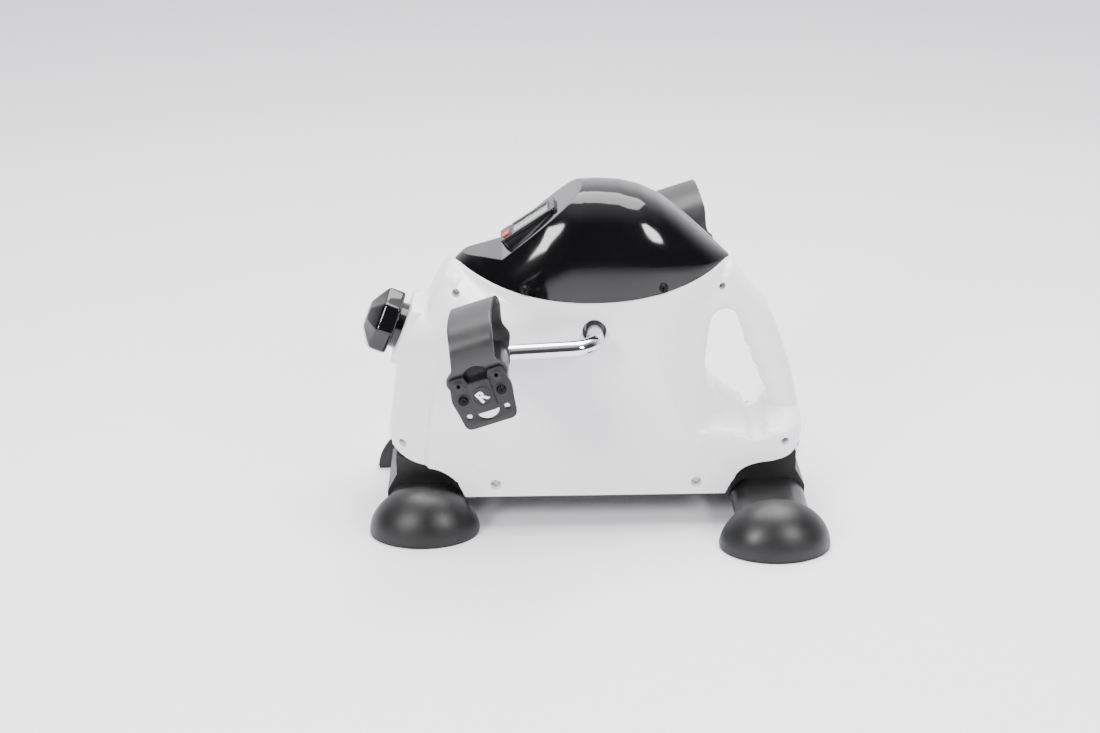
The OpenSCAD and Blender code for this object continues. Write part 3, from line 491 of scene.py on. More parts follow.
def inside(points, loop):
    x, z = points[:, 0][:, None], points[:, 1][:, None]
    a, b = loop, np.roll(loop, -1, 0)
    crosses = (a[:, 1] > z) != (b[:, 1] > z)
    with np.errstate(divide="ignore", invalid="ignore"):
        at = (b[:, 0] - a[:, 0]) * (z - a[:, 1]) / (b[:, 1] - a[:, 1]) + a[:, 0]
    return (crosses & (x < at)).sum(1) % 2 == 1


step_low = shifted(step_line, np.interp(step_line[:, 1], [52, 130, 205], [2.6, 1.5, 0.9]))
fold_low = shifted(fold_line, 1.2)
groove_sides = [shifted(groove_line, 0.8), shifted(groove_line, -0.8)]
crank_rim = circle_points(0, CRANK_Z, CRANK_HOLE_R, 64)
loops = [outline, hole_run, crank_rim]
open_lines = [step_line, step_low, fold_line, fold_low, groove_line, *groove_sides]
for x, z, r, _ in WELLS:
    loops += [circle_points(x, z, r, 28), circle_points(x, z, r - 0.35, 28)]
print("constraint lines:", len(loops) + len(open_lines))

# %% [markdown]
# The lines and points become one flat mesh. A triangulation keeps every given line as an edge, so
# a crisp line in the side view stays crisp once the depth is added.

# %% Triangulated side view
points, edges = [], []
for loop in loops:
    start = len(points)
    points += list(loop)
    edges += [(start + i, start + (i + 1) % len(loop)) for i in range(len(loop))]
for line in open_lines:
    line = line[inside(line, outline) & (away(line, outline) > 0.9)]
    start = len(points)
    points += list(line)
    edges += [(start + i, start + i + 1) for i in range(len(line) - 1)
              if math.dist(line[i], line[i + 1]) < 4]
fixed = np.array(points)
rounded = edge_radius > 0.5
for rim, where in ((outline, rounded), (hole_run, np.ones(len(hole_run), bool))):
    closed_rim = np.concatenate([rim[-1:], rim, rim[:1]])
    for d in (0.5, 1.4, 2.8, 4.8, 7.6):
        row = np.concatenate([shifted(closed_rim, d)[1:-1][where], shifted(closed_rim, -d)[1:-1][where]])
        row = row[inside(row, outline) & ~inside(row, hole_run)]
        row = row[(away(row, rim) > 0.93 * d) & (away(row, fixed) > 0.45 * min(d, 2.0))]
        points += list(row)
gx, gz = np.meshgrid(np.arange(-171, 174, 2.9), np.arange(29, 218, 2.9))
gx[::2] += 1.45
grid = np.column_stack([gx.ravel(), gz.ravel()])
grid = grid[inside(grid, outline) & ~inside(grid, hole_run)]
points += list(grid[away(grid, np.array(points)) > 1.5])
verts2d, _, triangles, *_ = delaunay_2d_cdt([Vector(p) for p in points], edges, [], 0, 1e-4)
flat = np.array([tuple(v) for v in verts2d])
triangles = np.array([t for t in triangles if len(t) == 3])
centre = flat[triangles].mean(1)
wanted = inside(centre, outline) & ~inside(centre, hole_run) & ~inside(centre, crank_rim)
triangles = triangles[wanted]
print("side view:", len(flat), "points,", len(triangles), "triangles")

# %% [markdown]
# Each point now gets its depth: the field, less the rounding near a closed edge, less the groove
# and the screw wells. From the closed edges a strip of faces runs to the middle plane, and from
# the seam a short lip runs inwards for the cover to sit on.

# %% Depth at every point
def edge_rounding(at):
    drop = np.zeros(len(at))
    for rim, radius in ((outline, edge_radius), (hole_run, hole_radius)):
        for r in np.unique(radius[radius > 0]):
            d = away(at, rim[radius == r])
            s = np.clip(1 - d / r, 0, 1)
            drop = np.maximum(drop, r * (1 - np.sqrt(1 - s**2)))
    return drop


y = depth(flat[:, 0], flat[:, 1]) - edge_rounding(flat)
groove_gap = away(flat, smooth_line(GROOVE, 0.4))
y -= 2.2 * np.clip(1 - groove_gap / 0.8, 0, 1)
near_crank = np.hypot(flat[:, 0], flat[:, 1] - CRANK_Z)
y -= 0.8 * np.clip(1 - (near_crank - CRANK_HOLE_R) / 2.0, 0, 1) ** 2
trough = 79.5 + 12 * ((flat[:, 0] - 136) / 13) ** 2 - flat[:, 1]  # a scoop under the opening
foot_zone = (flat[:, 0] > 112) & (flat[:, 1] < 92)
y_left = np.where(foot_zone, np.minimum(y, np.maximum(trough / 0.36, MIDDLE)), y)
y = np.where(foot_zone, np.minimum(y, np.maximum(trough / 0.13, MIDDLE)), y)
well_floor = []
for k, (x, z, r, deep) in enumerate(WELLS):
    in_well = np.hypot(flat[:, 0] - x, flat[:, 1] - z) < r - 0.1
    floor_at = float(depth(np.array([x]), np.array([z]))[0] - edge_rounding(np.array([[x, z]]))[0]) - deep
    well_floor.append(floor_at)
    y[in_well] = floor_at
    if k >= 4:
        y_left[in_well] = floor_at
print("deepest point:", round(float(y.max()), 2), "mm")

# %% [markdown]
# The two shells come out of one pair of moulds, so one set of faces serves both. The left one is
# the mirror image; only the four screws that join them are reached from the right.

# %% Shells
def strip(rim_points, rim_y, end_y, rows, wrap):
    """Faces from a rim to another depth, as corners and quads."""
    n = len(rim_points)
    corners = [(p[0], -(a + (b - a) * k / rows), p[1]) for k in range(rows + 1)
               for p, a, b in zip(rim_points, rim_y, end_y)]
    quads = [(k * n + i, k * n + (i + 1) % n, (k + 1) * n + (i + 1) % n, (k + 1) * n + i)
             for k in range(rows) for i in range(n if wrap else n - 1)]
    return corners, quads


def depth_on(rim):
    """The depth that the triangulated points have on this rim."""
    nearest = [int(np.argmin(((flat - p) ** 2).sum(1))) for p in rim]
    return y[nearest]


front = ([(p[0], -h, p[1]) for p, h in zip(flat, y)], [tuple(t) for t in triangles])
strips = [(hole_run, np.full(len(hole_run), MIDDLE), 4, True),
          (crank_rim, depth_on(crank_rim) - 3.0, 1, True)]
for run, r in RUNS:
    if r is not None:
        strips.append((run, np.full(len(run), MIDDLE), 4, False))
seam_run = RUNS[3][0]
strips.append((seam_run, np.maximum(depth_on(seam_run) - 7.0, 1.0), 2, False))
corners, faces = joined([front] + [strip(rim, depth_on(rim), end, rows, wrap)
                                   for rim, end, rows, wrap in strips])
corners = np.array(corners)
for side, sign, depths in (("right", 1, y), ("left", -1, y_left)):
    corners[:len(flat), 1] = -depths
    shell = make_piece(f"housing_shell_{side}", corners * [1, sign, 1], faces, white_abs,
                       crease=52, modifiers=[("SOLIDIFY", {"thickness": 0.0024, "offset": -1.0})])
    keep(shell, "stand", "white_plastic", f"shell_{side}")

# %% [markdown]
# The black cover is one glossy dome. Its cross-sections are rounded arches that stand on the seam,
# so it is drawn as a row of arches from tip to tip. Towards the knob a sloping console and a small
# nose cut the dome; the arch is simply stopped at that height and closed flat.

# %% Cover
def cover_limit(x):
    """Height of the console and of the nose, which cut the dome."""
    return np.maximum(225.6 + 0.84 * (x + 76), np.interp(x, [-113, -77], [224.6, 226.6]))


crest = eased([(-118, 214), (-114.5, 219), (-99, 233), (-82, 249), (-70, 259.5), (-56, 269.5), (-40, 277.5),
               (-23, 281.8), (0, 283.0), (7, 283.0), (23, 281.8), (40, 277.5), (56, 269.5), (70, 259.5),
               (82, 249), (99, 233), (114.5, 219), (118, 214)], 3.0)
power_z = eased([(-114.5, 2.0), (-100, 1.35), (-90, 1.2), (-60, 1.5), (-17, 2.2), (114.5, 2.2)], 6)
power_y = eased([(-114.5, 2.0), (-100, 1.5), (-90, 1.25), (-60, 1.9), (-17, 3.0), (60, 3.0), (114.5, 2.2)], 6)
ACROSS, TOP = 26, 8
COVER_TIP, TIP_RUN = 114.4, 14.4  # where the dome ends, and how far in its stations crowd up
quarter = np.linspace(0, math.pi / 2, 12)
stations = np.concatenate([-COVER_TIP + TIP_RUN * (1 - np.cos(quarter)), np.linspace(-99, 99, 100),
                           COVER_TIP - TIP_RUN + TIP_RUN * np.sin(quarter)])
rows = []
for x in stations:
    low, half = float(seam(np.clip(x, -COVER_TIP, COVER_TIP))) + 0.15, float(cover_half(x)) + 0.01
    high = max(float(crest(x)), low + 0.02)
    p, q = float(power_z(x)), float(power_y(x))
    stop = min(1.0, max((float(cover_limit(x)) - low) / (high - low), 0.02))
    last = math.asin(stop ** (p / 2))
    row = [(x, half * math.cos(t) ** (2 / q), low + (high - low) * math.sin(t) ** (2 / p))
           for t in np.linspace(0, last, ACROSS)]
    top_y, top_z = row[-1][1:]
    row += [(x, top_y * (1 - k / TOP), top_z) for k in range(1, TOP + 1)]
    rows.append(row + [(a, -b, c) for a, b, c in row[-2::-1]])
width = len(rows[0])
cover_corners = [corner for row in rows for corner in row]
cover_faces = [(i * width + j, (i + 1) * width + j, (i + 1) * width + j + 1, i * width + j + 1)
               for i in range(len(rows) - 1) for j in range(width - 1)]
cover = make_piece("cover_dome", cover_corners, cover_faces, black_abs, crease=30, modifiers=[
    ("BEVEL", {"width": 0.0011, "segments": 2, "limit_method": "ANGLE", "angle_limit": math.radians(28)}),
    ("SOLIDIFY", {"thickness": 0.0025, "offset": -1.0})])
keep(cover, "stand", "black_gloss", "top_cover")

# %% [markdown]
# Under the machine lie two flat-oval steel tubes, and each end wears a moulded cap, a quarter of
# an ellipsoid, so that no edge meets the floor or a toe. Both are rows of rings, joined by one
# helper that can close its ends.

# %% Tubes and foot caps
def loft(rings, close_ends=True, ring_closed=True):
    """Corners and faces of a skin over rings that have equal counts of points."""
    n, m = len(rings), len(rings[0])
    corners = [tuple(p) for ring in rings for p in ring]
    faces = [(i * m + j, i * m + (j + 1) % m, (i + 1) * m + (j + 1) % m, (i + 1) * m + j)
             for i in range(n - 1) for j in range(m if ring_closed else m - 1)]
    if close_ends:
        faces += [tuple(range(m))[::-1], tuple(range((n - 1) * m, n * m))]
    return corners, faces


def oval(grow=0.0, n=28):
    """The tube's section in X and Z, 62 by 30 mm, standing 3 mm over the floor."""
    a = np.linspace(-math.pi / 2, math.pi / 2, n)
    half = np.column_stack([16 + (15 + grow) * np.cos(a), 18 + (15 + grow) * np.sin(a)])
    return np.concatenate([half, half[::-1] * [-1, 1]])


FEET = {"user": (-143.0, 66.0), "handle": (146.7, 104.0)}
CAP = (46.3, 37.0, 41.4)
for end, (x, rim) in FEET.items():
    stops = np.linspace(-rim - 13, rim + 13, 9)  # each end of the tube reaches 13 mm into its cap
    tube_corners, tube_faces = loft([[(x + a, at, b) for a, b in oval()] for at in stops])
    tube = make_piece(f"tube_{end}", tube_corners, tube_faces, tube_paint, crease=40)
    keep(tube, "stand", "charcoal_paint", f"stabiliser_{end}")
    for side, s in (("right", -1), ("left", 1)):
        rings = []
        for lift in [0.0, 0.006, 0.030, 0.038, *np.linspace(0.07, 1, 30)]:
            up = math.sin(lift * math.pi / 2)
            out = math.cos(lift * math.pi / 2) - (0.016 if lift < 0.035 else 0.0)
            turn = np.linspace(0, math.pi, 57)
            ring = [(x + CAP[0] * out * math.cos(t), s * (rim + CAP[1] * out * math.sin(t)), CAP[2] * up)
                    for t in turn]
            rings.append(ring)
        cap_corners, cap_faces = loft(rings)
        cap = make_piece(f"cap_{end}_{side}", cap_corners, cap_faces, cap_pp, crease=50, modifiers=[
            ("BEVEL", {"width": 0.0012, "segments": 3, "limit_method": "ANGLE",
                       "angle_limit": math.radians(60)})])
        keep(cap, "stand", "black_plastic", f"foot_cap_{end}_{side}")

# %% [markdown]
# A crank is one polished rod, bent twice: out of the housing, along it, and out again to carry the
# pedal. A circle is swept along that path.

# %% Cranks
CRANK, DIP = 90.0, math.radians(2.7)


def arc(cx, cy, r, from_deg, to_deg, n=14):
    a = np.radians(np.linspace(from_deg, to_deg, n))
    return np.column_stack([cx + r * np.cos(a), cy + r * np.sin(a)])


def crank_place(points, s):
    """Crank coordinates (arm along -X, Y outboard) to the frame; s is -1 on the right."""
    p = np.asarray(points, float)
    x = p[:, 0] * math.cos(DIP) - p[:, 2] * math.sin(DIP)
    z = p[:, 0] * math.sin(DIP) + p[:, 2] * math.cos(DIP)
    return np.column_stack([-s * x, s * p[:, 1], CRANK_Z - s * z])


rod_path = np.concatenate([[(0, 40)], arc(-20, 73, 20, 0, 90), arc(-79.5, 103.5, 10.5, 270, 180),
                           [(-90, 104.2), (-90, 105.2), (-90, 171.5)]])
rod_radius = np.full(len(rod_path), 7.0)
rod_radius[-2:] = 6.0
rod_rings = []
for k, (at, r) in enumerate(zip(rod_path, rod_radius)):
    along = rod_path[min(k + 1, len(rod_path) - 1)] - rod_path[max(k - 1, 0)]
    along /= np.linalg.norm(along)
    a = np.linspace(0, 2 * math.pi, 36, endpoint=False)
    rod_rings.append([(at[0] - along[1] * r * c, at[1] + along[0] * r * c, r * z)
                      for c, z in zip(np.cos(a), np.sin(a))])
for side, s in (("right", -1), ("left", 1)):
    rod_corners, rod_faces = loft(rod_rings)
    rod = make_piece(f"crank_rod_{side}", crank_place(rod_corners, s), rod_faces, chrome, crease=50)
    keep(rod, "crank", "chrome", f"crank_{side}")

# %% [markdown]
# The brake knob is lathe work with eight sides: a plain neck, a head with slightly hollow grips
# between its ridges, and a faceted crown. Its axis leans up 22.5 degrees, towards the user's hand.

# %% Knob
def knob_place(points):
    p = np.asarray(points, float)
    flat_part = np.outer(p[:, 0], [BOSS_UP[0], 0, BOSS_UP[1]]) + np.outer(p[:, 1], [0, 1, 0])
    return flat_part + np.outer(p[:, 2], [BOSS_OUT[0], 0, BOSS_OUT[1]]) + [BOSS_AT[0], 0, BOSS_AT[1]]


def eight_sided(r, h, hollow, sides=8, per_side=14):
    """A ring that is round when hollow is 0, and eight-sided with hollow grips above it."""
    ring = []
    for k in range(sides * per_side):
        t = 2 * math.pi * k / (sides * per_side)
        across = 2 * ((t * sides / (2 * math.pi)) % 1) - 1
        straight = math.cos(math.pi / sides) / math.cos(across * math.pi / sides)
        ridge = 1 - 0.012 * math.exp(-((1 - abs(across)) / 0.10) ** 2)
        side_r = straight * ridge - 0.022 * (1 - across**2)
        ring.append((r * (1 + hollow * (side_r - 1)) * math.cos(t),
                     r * (1 + hollow * (side_r - 1)) * math.sin(t), h))
    return ring


knob_profile = [(17, -3.5, 0), (17, 0.3, 0), (19.0, 0.5, 0), (19.8, 1.2, 0), (19.8, 8.0, 0), (19.3, 8.5, 0),
                (26.5, 8.7, 1), (28.3, 9.1, 1), (29.2, 10.3, 1), (29.3, 12, 1), (29.3, 20.5, 1), (29.0, 22.2, 1),
                (28.0, 23.6, 1), (26.6, 24.7, 1), (20.0, 28.6, 1), (13.6, 32.1, 1), (11.6, 32.9, 0.9),
                (9.0, 33.3, 0.5), (5.0, 33.5, 0), (0.5, 33.5, 0)]
knob_corners, knob_faces = loft([eight_sided(r, h, hollow) for r, h, hollow in knob_profile])
knob = make_piece("brake_knob", knob_place(knob_corners), knob_faces, black_abs, crease=38)
keep(knob, "knob", "black_gloss", "tension_knob")

# %% [markdown]
# Pedals are drawn in a frame of their own: u across, v up the pedal, y outboard along the spindle.
# The plates are cut from sheet outlines with holes. One helper fills an outline with triangles
# around its holes, and gives it thickness and walls.

# %% Plates with holes
LEAN_P = math.radians(17.7)
SPINDLE = {"right": (-CRANK * math.cos(DIP), CRANK_Z - CRANK * math.sin(DIP)),
           "left": (CRANK * math.cos(DIP), CRANK_Z + CRANK * math.sin(DIP))}
SIGN = {"right": -1, "left": 1}


def pedal_place(points, side):
    """Pedal coordinates (u, y, v) to the frame."""
    p = np.asarray(points, float)
    x0, z0 = SPINDLE[side]
    return np.column_stack([x0 + p[:, 0] * math.cos(LEAN_P) - p[:, 2] * math.sin(LEAN_P),
                            SIGN[side] * p[:, 1],
                            z0 + p[:, 0] * math.sin(LEAN_P) + p[:, 2] * math.cos(LEAN_P)])


def plate(outline_uv, holes, y0, y1):
    """Corners and faces of a plate between two depths; corners are (u, y, v)."""
    loops_uv = [np.asarray(loop, float) for loop in [outline_uv, *holes]]
    fill = tessellate_polygon([[Vector((a, b, 0)) for a, b in loop] for loop in loops_uv])
    flat_uv = np.concatenate(loops_uv)
    n = len(flat_uv)
    corners = [(a, y, b) for y in (y0, y1) for a, b in flat_uv]
    faces = [tuple(t) for t in fill] + [tuple(n + i for i in reversed(t)) for t in fill]
    at = 0
    for loop in loops_uv:
        m = len(loop)
        faces += [(at + i, at + (i + 1) % m, n + at + (i + 1) % m, n + at + i) for i in range(m)]
        at += m
    return corners, faces


def rounded(points, r, n=6):
    """A polygon with its corners rounded to about r."""
    p = np.array(points, float)
    out = []
    for a, b, c in zip(np.roll(p, 1, 0), p, np.roll(p, -1, 0)):
        cut = min(r, 0.45 * np.linalg.norm(a - b), 0.45 * np.linalg.norm(c - b))
        start, end = b + (a - b) / np.linalg.norm(a - b) * cut, b + (c - b) / np.linalg.norm(c - b) * cut
        out += [(1 - t) ** 2 * start + 2 * t * (1 - t) * b + t * t * end for t in np.linspace(0, 1, n)]
    return np.array(out)


def box_outline(u0, u1, v0, v1, r):
    return rounded([(u0, v0), (u1, v0), (u1, v1), (u0, v1)], r)


def edge_bevel(width, angle=50, segments=2):
    return ("BEVEL", {"width": width * MM, "segments": segments, "limit_method": "ANGLE",
                      "angle_limit": math.radians(angle)})


print("pedal spindles at", SPINDLE)

# %% [markdown]
# The outer end plate faces the viewer. It has two lugs that hold the strap, screw seats, two round
# holes and a half-moon cut out to save plastic. A raised block carries the letter of its side.

# %% Pedal plates and letter blocks
end_plate = rounded([(-20.4, -24.3), (20.4, -24.3), (22.2, -10), (24, 0), (24, 4), (22.3, 11), (21.6, 19.2),
                     (9.4, 19.2), (8.7, 13.2), (-8.7, 13.2), (-9.4, 19.2), (-21.6, 19.2), (-22.3, 11), (-24, 4),
                     (-24, 0), (-22.2, -10)], 5.6)
half_moon = [(8.7 * math.cos(t), -13.0 + 7.2 * math.sin(t))
             for t in np.linspace(math.pi, 2 * math.pi, 22)]
inner_plate = rounded([(-9, -14.6), (-19, -9), (-22, 0), (-22, 17),
                       (22, 17), (22, 0), (19, -9), (9, -14.6)], 3)
for side in ("right", "left"):
    holes = [circle_points(u, v, r, 20) for u, v, r in
             [(-15.1, -13.7, 2.3), (15.1, -13.7, 2.3), (-15.2, 12.8, 1.5), (15.2, 12.8, 1.5)]]
    parts = [plate(end_plate, [half_moon, *holes], 178.5, 182.0),
             plate(box_outline(-8.7, 8.7, -12.6, 13.4, 2.2), [], 180.0, 184.0),
             plate(circle_points(0, 0.6, 7.6, 40), [circle_points(0, 0.6, 6.9, 40)], 183.0, 184.5)]
    for u in (-15.2, 15.2):
        for v, rim_r, bore_r, top in ((0.8, 5.0, 4.2, 182.5), (12.8, 4.2, 1.6, 182.4)):
            bore = circle_points(u, v, bore_r, 28)
            parts.append(plate(circle_points(u, v, rim_r, 28), [bore], 181.0, top))
    corners, faces = joined(parts)
    outer = make_piece(f"pedal_plate_{side}", pedal_place(corners, side), faces, plate_nylon, 40,
                       [edge_bevel(0.35)])
    keep(outer, f"pedal_{side}", "plate_plastic", f"pedal_end_plate_{side}")
    turns = np.linspace(0, 2 * math.pi, 40, endpoint=False)
    hub = [[(r * math.cos(t), y, r * math.sin(t)) for t in turns]
           for r, y in ((7.3, 104.0), (10.6, 104.0), (12.6, 105.2), (12.8, 106.4), (7.3, 106.4))]
    corners, faces = joined([plate(inner_plate, [circle_points(0, 0, 8.2, 32)], 106.0, 109.5),
                             loft(hub, close_ends=False)])
    inner = make_piece(f"pedal_inner_{side}", pedal_place(corners, side), faces, plate_nylon, 40,
                       [edge_bevel(0.5)])
    keep(inner, f"pedal_{side}", "plate_plastic", f"pedal_inner_plate_{side}")

# %% [markdown]
# Left and right pedals look alike, so each carries its letter, printed on the block and turned to
# follow it. The letter starts as text and is made a plain mesh before it is placed.

# %% Letters
for side, letter in (("right", "R"), ("left", "L")):
    curve = bpy.data.curves.new(f"letter_{side}", "FONT")
    curve.body = letter
    curve.align_x, curve.align_y = "CENTER", "CENTER"
    curve.size, curve.extrude, curve.offset = 1.0, 0.02, 0.034
    text = bpy.data.objects.new("letter", curve)
    bpy.context.scene.collection.objects.link(text)
    solid = bpy.data.meshes.new_from_object(text.evaluated_get(bpy.context.evaluated_depsgraph_get()))
    corners = np.array([v.co for v in solid.vertices])
    faces = [tuple(p.vertices) for p in solid.polygons]
    bpy.data.objects.remove(text)
    low, high = corners.min(0), corners.max(0)
    corners = (corners - (low + high) / 2) * 9.2 / (high[1] - low[1])
    turn = math.radians(25)
    mirror = 1 if side == "right" else -1
    u = mirror * (corners[:, 0] * math.cos(turn) - corners[:, 1] * math.sin(turn))
    v = corners[:, 0] * math.sin(turn) + corners[:, 1] * math.cos(turn) + 0.6
    depth_y = np.where(corners[:, 2] > 0, 184.35, 183.8)
    placed = pedal_place(np.column_stack([u, depth_y, v]), side)
    piece = make_piece(f"letter_{letter}", placed, faces, letter_paint)
    keep(piece, f"pedal_{side}", "white_plastic")

# %% [markdown]
# The foot rests on the pedal body. Its top is a half-round grip with fine ribs along the spindle,
# so a shoe can't slide off. The ribs repeat along an arc, which is a job for Geometry Nodes: a
# line across the grip is resampled at the pitch, and a bar is placed on every point.

# %% A tree that sets bars along a curve
def node_tree(name, **sockets):
    """A Geometry Nodes tree with named inputs, its input node and its output node."""
    tree = bpy.data.node_groups.new(name, "GeometryNodeTree")
    tree.interface.new_socket("Geometry", in_out="INPUT", socket_type="NodeSocketGeometry")
    for key, kind in sockets.items():
        tree.interface.new_socket(key, in_out="INPUT", socket_type=kind)
    tree.interface.new_socket("Geometry", in_out="OUTPUT", socket_type="NodeSocketGeometry")
    return tree, add(tree, "NodeGroupInput").outputs, add(tree, "NodeGroupOutput")


def grow(name, tree, corners, values, edges=(), facing=None):
    """Runs a tree on points in mm and keeps the result as a plain mesh."""
    mesh = bpy.data.meshes.new(name)
    mesh.from_pydata([tuple(c) for c in np.asarray(corners, float) * MM], edges, [])
    if facing is not None:
        mesh.attributes.new("facing", "FLOAT_VECTOR", "POINT").data.foreach_set(
            "vector", np.asarray(facing, float).ravel())
    piece = bpy.data.objects.new(name, mesh)
    bpy.context.scene.collection.objects.link(piece)
    modifier = piece.modifiers.new("nodes", "NODES")
    modifier.node_group = tree
    for item in tree.interface.items_tree:
        if item.in_out == "INPUT" and item.name in values:
            modifier[item.identifier] = values[item.name]
    settle(piece)
    piece.data.shade_smooth()
    piece.data.set_sharp_from_angle(angle=math.radians(35))
    return piece


def place_on(tree, result, points, shape, rotation, material):
    """The end of a tree: a shape on every point, made real, with its material."""
    placed = add(tree, "GeometryNodeInstanceOnPoints", {
        "Points": points, "Instance": shape, "Rotation": rotation})
    real = add(tree, "GeometryNodeRealizeInstances", {"Geometry": placed.outputs["Instances"]})
    dressed = add(tree, "GeometryNodeSetMaterial", {"Geometry": real.outputs["Geometry"],
                                                    "Material": material})
    tree.links.new(dressed.outputs["Geometry"], result.inputs["Geometry"])


rib_tree, given, result = node_tree("ribs", Pitch="NodeSocketFloat", Length="NodeSocketFloat",
                                    Height="NodeSocketFloat", Finish="NodeSocketMaterial")
line = add(rib_tree, "GeometryNodeMeshToCurve", {"Mesh": given["Geometry"]})
dots = add(rib_tree, "GeometryNodeResampleCurve", {"Curve": line.outputs["Curve"], "Length": given["Pitch"]},
           mode="LENGTH")
bar_width = add(rib_tree, "ShaderNodeMath", {0: given["Pitch"], 1: 0.52}, operation="MULTIPLY")
bar_size = add(rib_tree, "ShaderNodeCombineXYZ", {"X": bar_width.outputs["Value"], "Y": given["Length"],
                                                  "Z": given["Height"]})
bar = add(rib_tree, "GeometryNodeMeshCube", {"Size": bar_size.outputs["Vector"]})
along = add(rib_tree, "GeometryNodeInputTangent")
turned = add(rib_tree, "FunctionNodeAlignRotationToVector", {"Vector": along.outputs["Tangent"]},
             axis="X", pivot_axis="Y")
place_on(rib_tree, result, dots.outputs["Curve"], bar.outputs["Mesh"], turned.outputs["Rotation"],
         given["Finish"])
print("rib tree:", len(rib_tree.nodes), "nodes")

# %% [markdown]
# The pedal body is one long moulding, so its section is drawn once and pushed along the spindle.
# The ribs then follow the same half-round top.

# %% Pedal bodies and their ribs
grip = [(-19, -6), (-20.6, 1), (-20.6, 9), (-19, 13.5), *[(10.6 * math.cos(t) * 1.25, 14 + 9.6 * math.sin(t))
        for t in np.linspace(math.pi, 0, 26)], (19, 13.5), (20.6, 9), (20.6, 1), (19, -6),
        *[(11.5 * math.cos(t), 11.5 * math.sin(t) - 0.2) for t in np.linspace(-0.5, -math.pi + 0.5, 22)]]
for side in ("right", "left"):
    corners, faces = plate(grip, [], 112.7, 175.0)
    body = make_piece(f"pedal_grip_{side}", pedal_place(corners, side), faces, plate_nylon, 34,
                      [edge_bevel(0.6)])
    keep(body, f"pedal_{side}", "plate_plastic", f"pedal_body_{side}")
    crown = [(13.3 * math.cos(t), 143.9, 14 + 9.7 * math.sin(t))
             for t in np.linspace(math.pi - 0.15, 0.15, 40)]
    ribs = grow(f"pedal_ribs_{side}", rib_tree, pedal_place(crown, side),
                {"Pitch": 1.6 * MM, "Length": 61.0 * MM, "Height": 1.3 * MM, "Finish": plate_nylon},
                edges=[(i, i + 1) for i in range(39)])
    keep(ribs, f"pedal_{side}", "plate_plastic")

# %% [markdown]
# The strap is one moulding of soft plastic. Laid flat it is a long strip, wide at both feet and
# notched to pass the grip; bent, it rises from behind the outer plate, arches over the shoe and comes
# down inside. So it is drawn flat first, filled with triangles, and then every point is
# bent onto the arch.

# %% Straps
def filled(outline_2d, step, lines=()):
    """Triangles that fill an outline, with inner points on a grid."""
    rim_n = len(outline_2d)
    pts = [tuple(p) for p in outline_2d]
    links = [(i, (i + 1) % rim_n) for i in range(rim_n)]
    for extra in lines:
        start = len(pts)
        pts += [tuple(p) for p in extra]
        links += [(start + i, start + i + 1) for i in range(len(extra) - 1)]
    low, high = np.min(outline_2d, 0), np.max(outline_2d, 0)
    a, b = np.meshgrid(np.arange(low[0], high[0], step), np.arange(low[1], high[1], step))
    inner = np.column_stack([a.ravel(), b.ravel()])
    inner = inner[inside(inner, np.asarray(outline_2d))]
    pts += [tuple(p) for p in inner[away(inner, np.array(pts)) > 0.55 * step]]
    got, _, tris, *_ = delaunay_2d_cdt([Vector(p) for p in pts], links, [], 0, 1e-4)
    got = np.array([tuple(v) for v in got])
    tris = np.array([t for t in tris if len(t) == 3])
    return got, tris[inside(got[tris].mean(1), np.asarray(outline_2d))]


strap_path = smooth_line([(176.6, 6.5), (176.7, 13), (178.4, 19), (181.6, 25), (182.4, 33), (180.3, 43),
                          (172, 51.5), (160, 55.6), (144, 56.8), (127, 54.6), (114, 48.6), (106.2, 39), (104, 30),
                          (106, 21), (110.4, 14), (111.2, 6.5)], 1.0)
run_length = np.concatenate([[0], np.cumsum(np.linalg.norm(np.diff(strap_path, axis=0), axis=1))])
total = run_length[-1]
half_width = eased([(-5, 21.5), (0, 21.5), (7, 24.4), (12, 24.2), (20, 17.6), (30, 17.3), (total / 2, 17.5),
                    (total - 28, 17.3), (total - 20, 17.6), (total - 12, 23), (total - 7, 23.4), (total, 21),
                    (total + 5, 21)], 2.5)
middle = eased([(0, 0), (18, 0.5), (40, 5.5), (total / 2, 9.5), (total - 40, 11), (total - 20, 6), (total, 2)], 5)
steps = np.linspace(0, total, 130)
notch = [(0, -10.2), *arc(10.2, 0, 10.2, -90, 90, 24), (0, 10.2)]
outer_rim = [(s, middle(s) + half_width(s)) for s in steps]
inner_rim = [(s, middle(s) - half_width(s)) for s in steps[::-1]]
foot_a = [tuple(p) for p in notch]
foot_b = [(total - s, u) for s, u in reversed(notch)]
strap_outline = np.array([*foot_a, *outer_rim, *foot_b, *inner_rim])
strap_flat, strap_tris = filled(strap_outline, 2.2)
bent_y = np.interp(strap_flat[:, 0], run_length, strap_path[:, 0])
bent_v = np.interp(strap_flat[:, 0], run_length, strap_path[:, 1])
for side in ("right", "left"):
    corners = pedal_place(np.column_stack([strap_flat[:, 1], bent_y, bent_v]), side)
    strap = make_piece(f"foot_strap_{side}", corners, [tuple(t) for t in strap_tris], strap_tpu, 40, [
        ("SOLIDIFY", {"thickness": 0.0024, "offset": 0.0}), edge_bevel(0.5, 60)])
    keep(strap, f"pedal_{side}", "strap_plastic", f"pedal_strap_{side}")

# %% [markdown]
# The meter is a small case that clips into the console. Its face has a window between two cross
# grooves and a red button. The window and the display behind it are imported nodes; the case is built
# here, in layers, so that its grooves and openings have real edges.

# %% Meter
METER_AT, METER_LEAN = (-53.8, 251.6), math.radians(33.3)


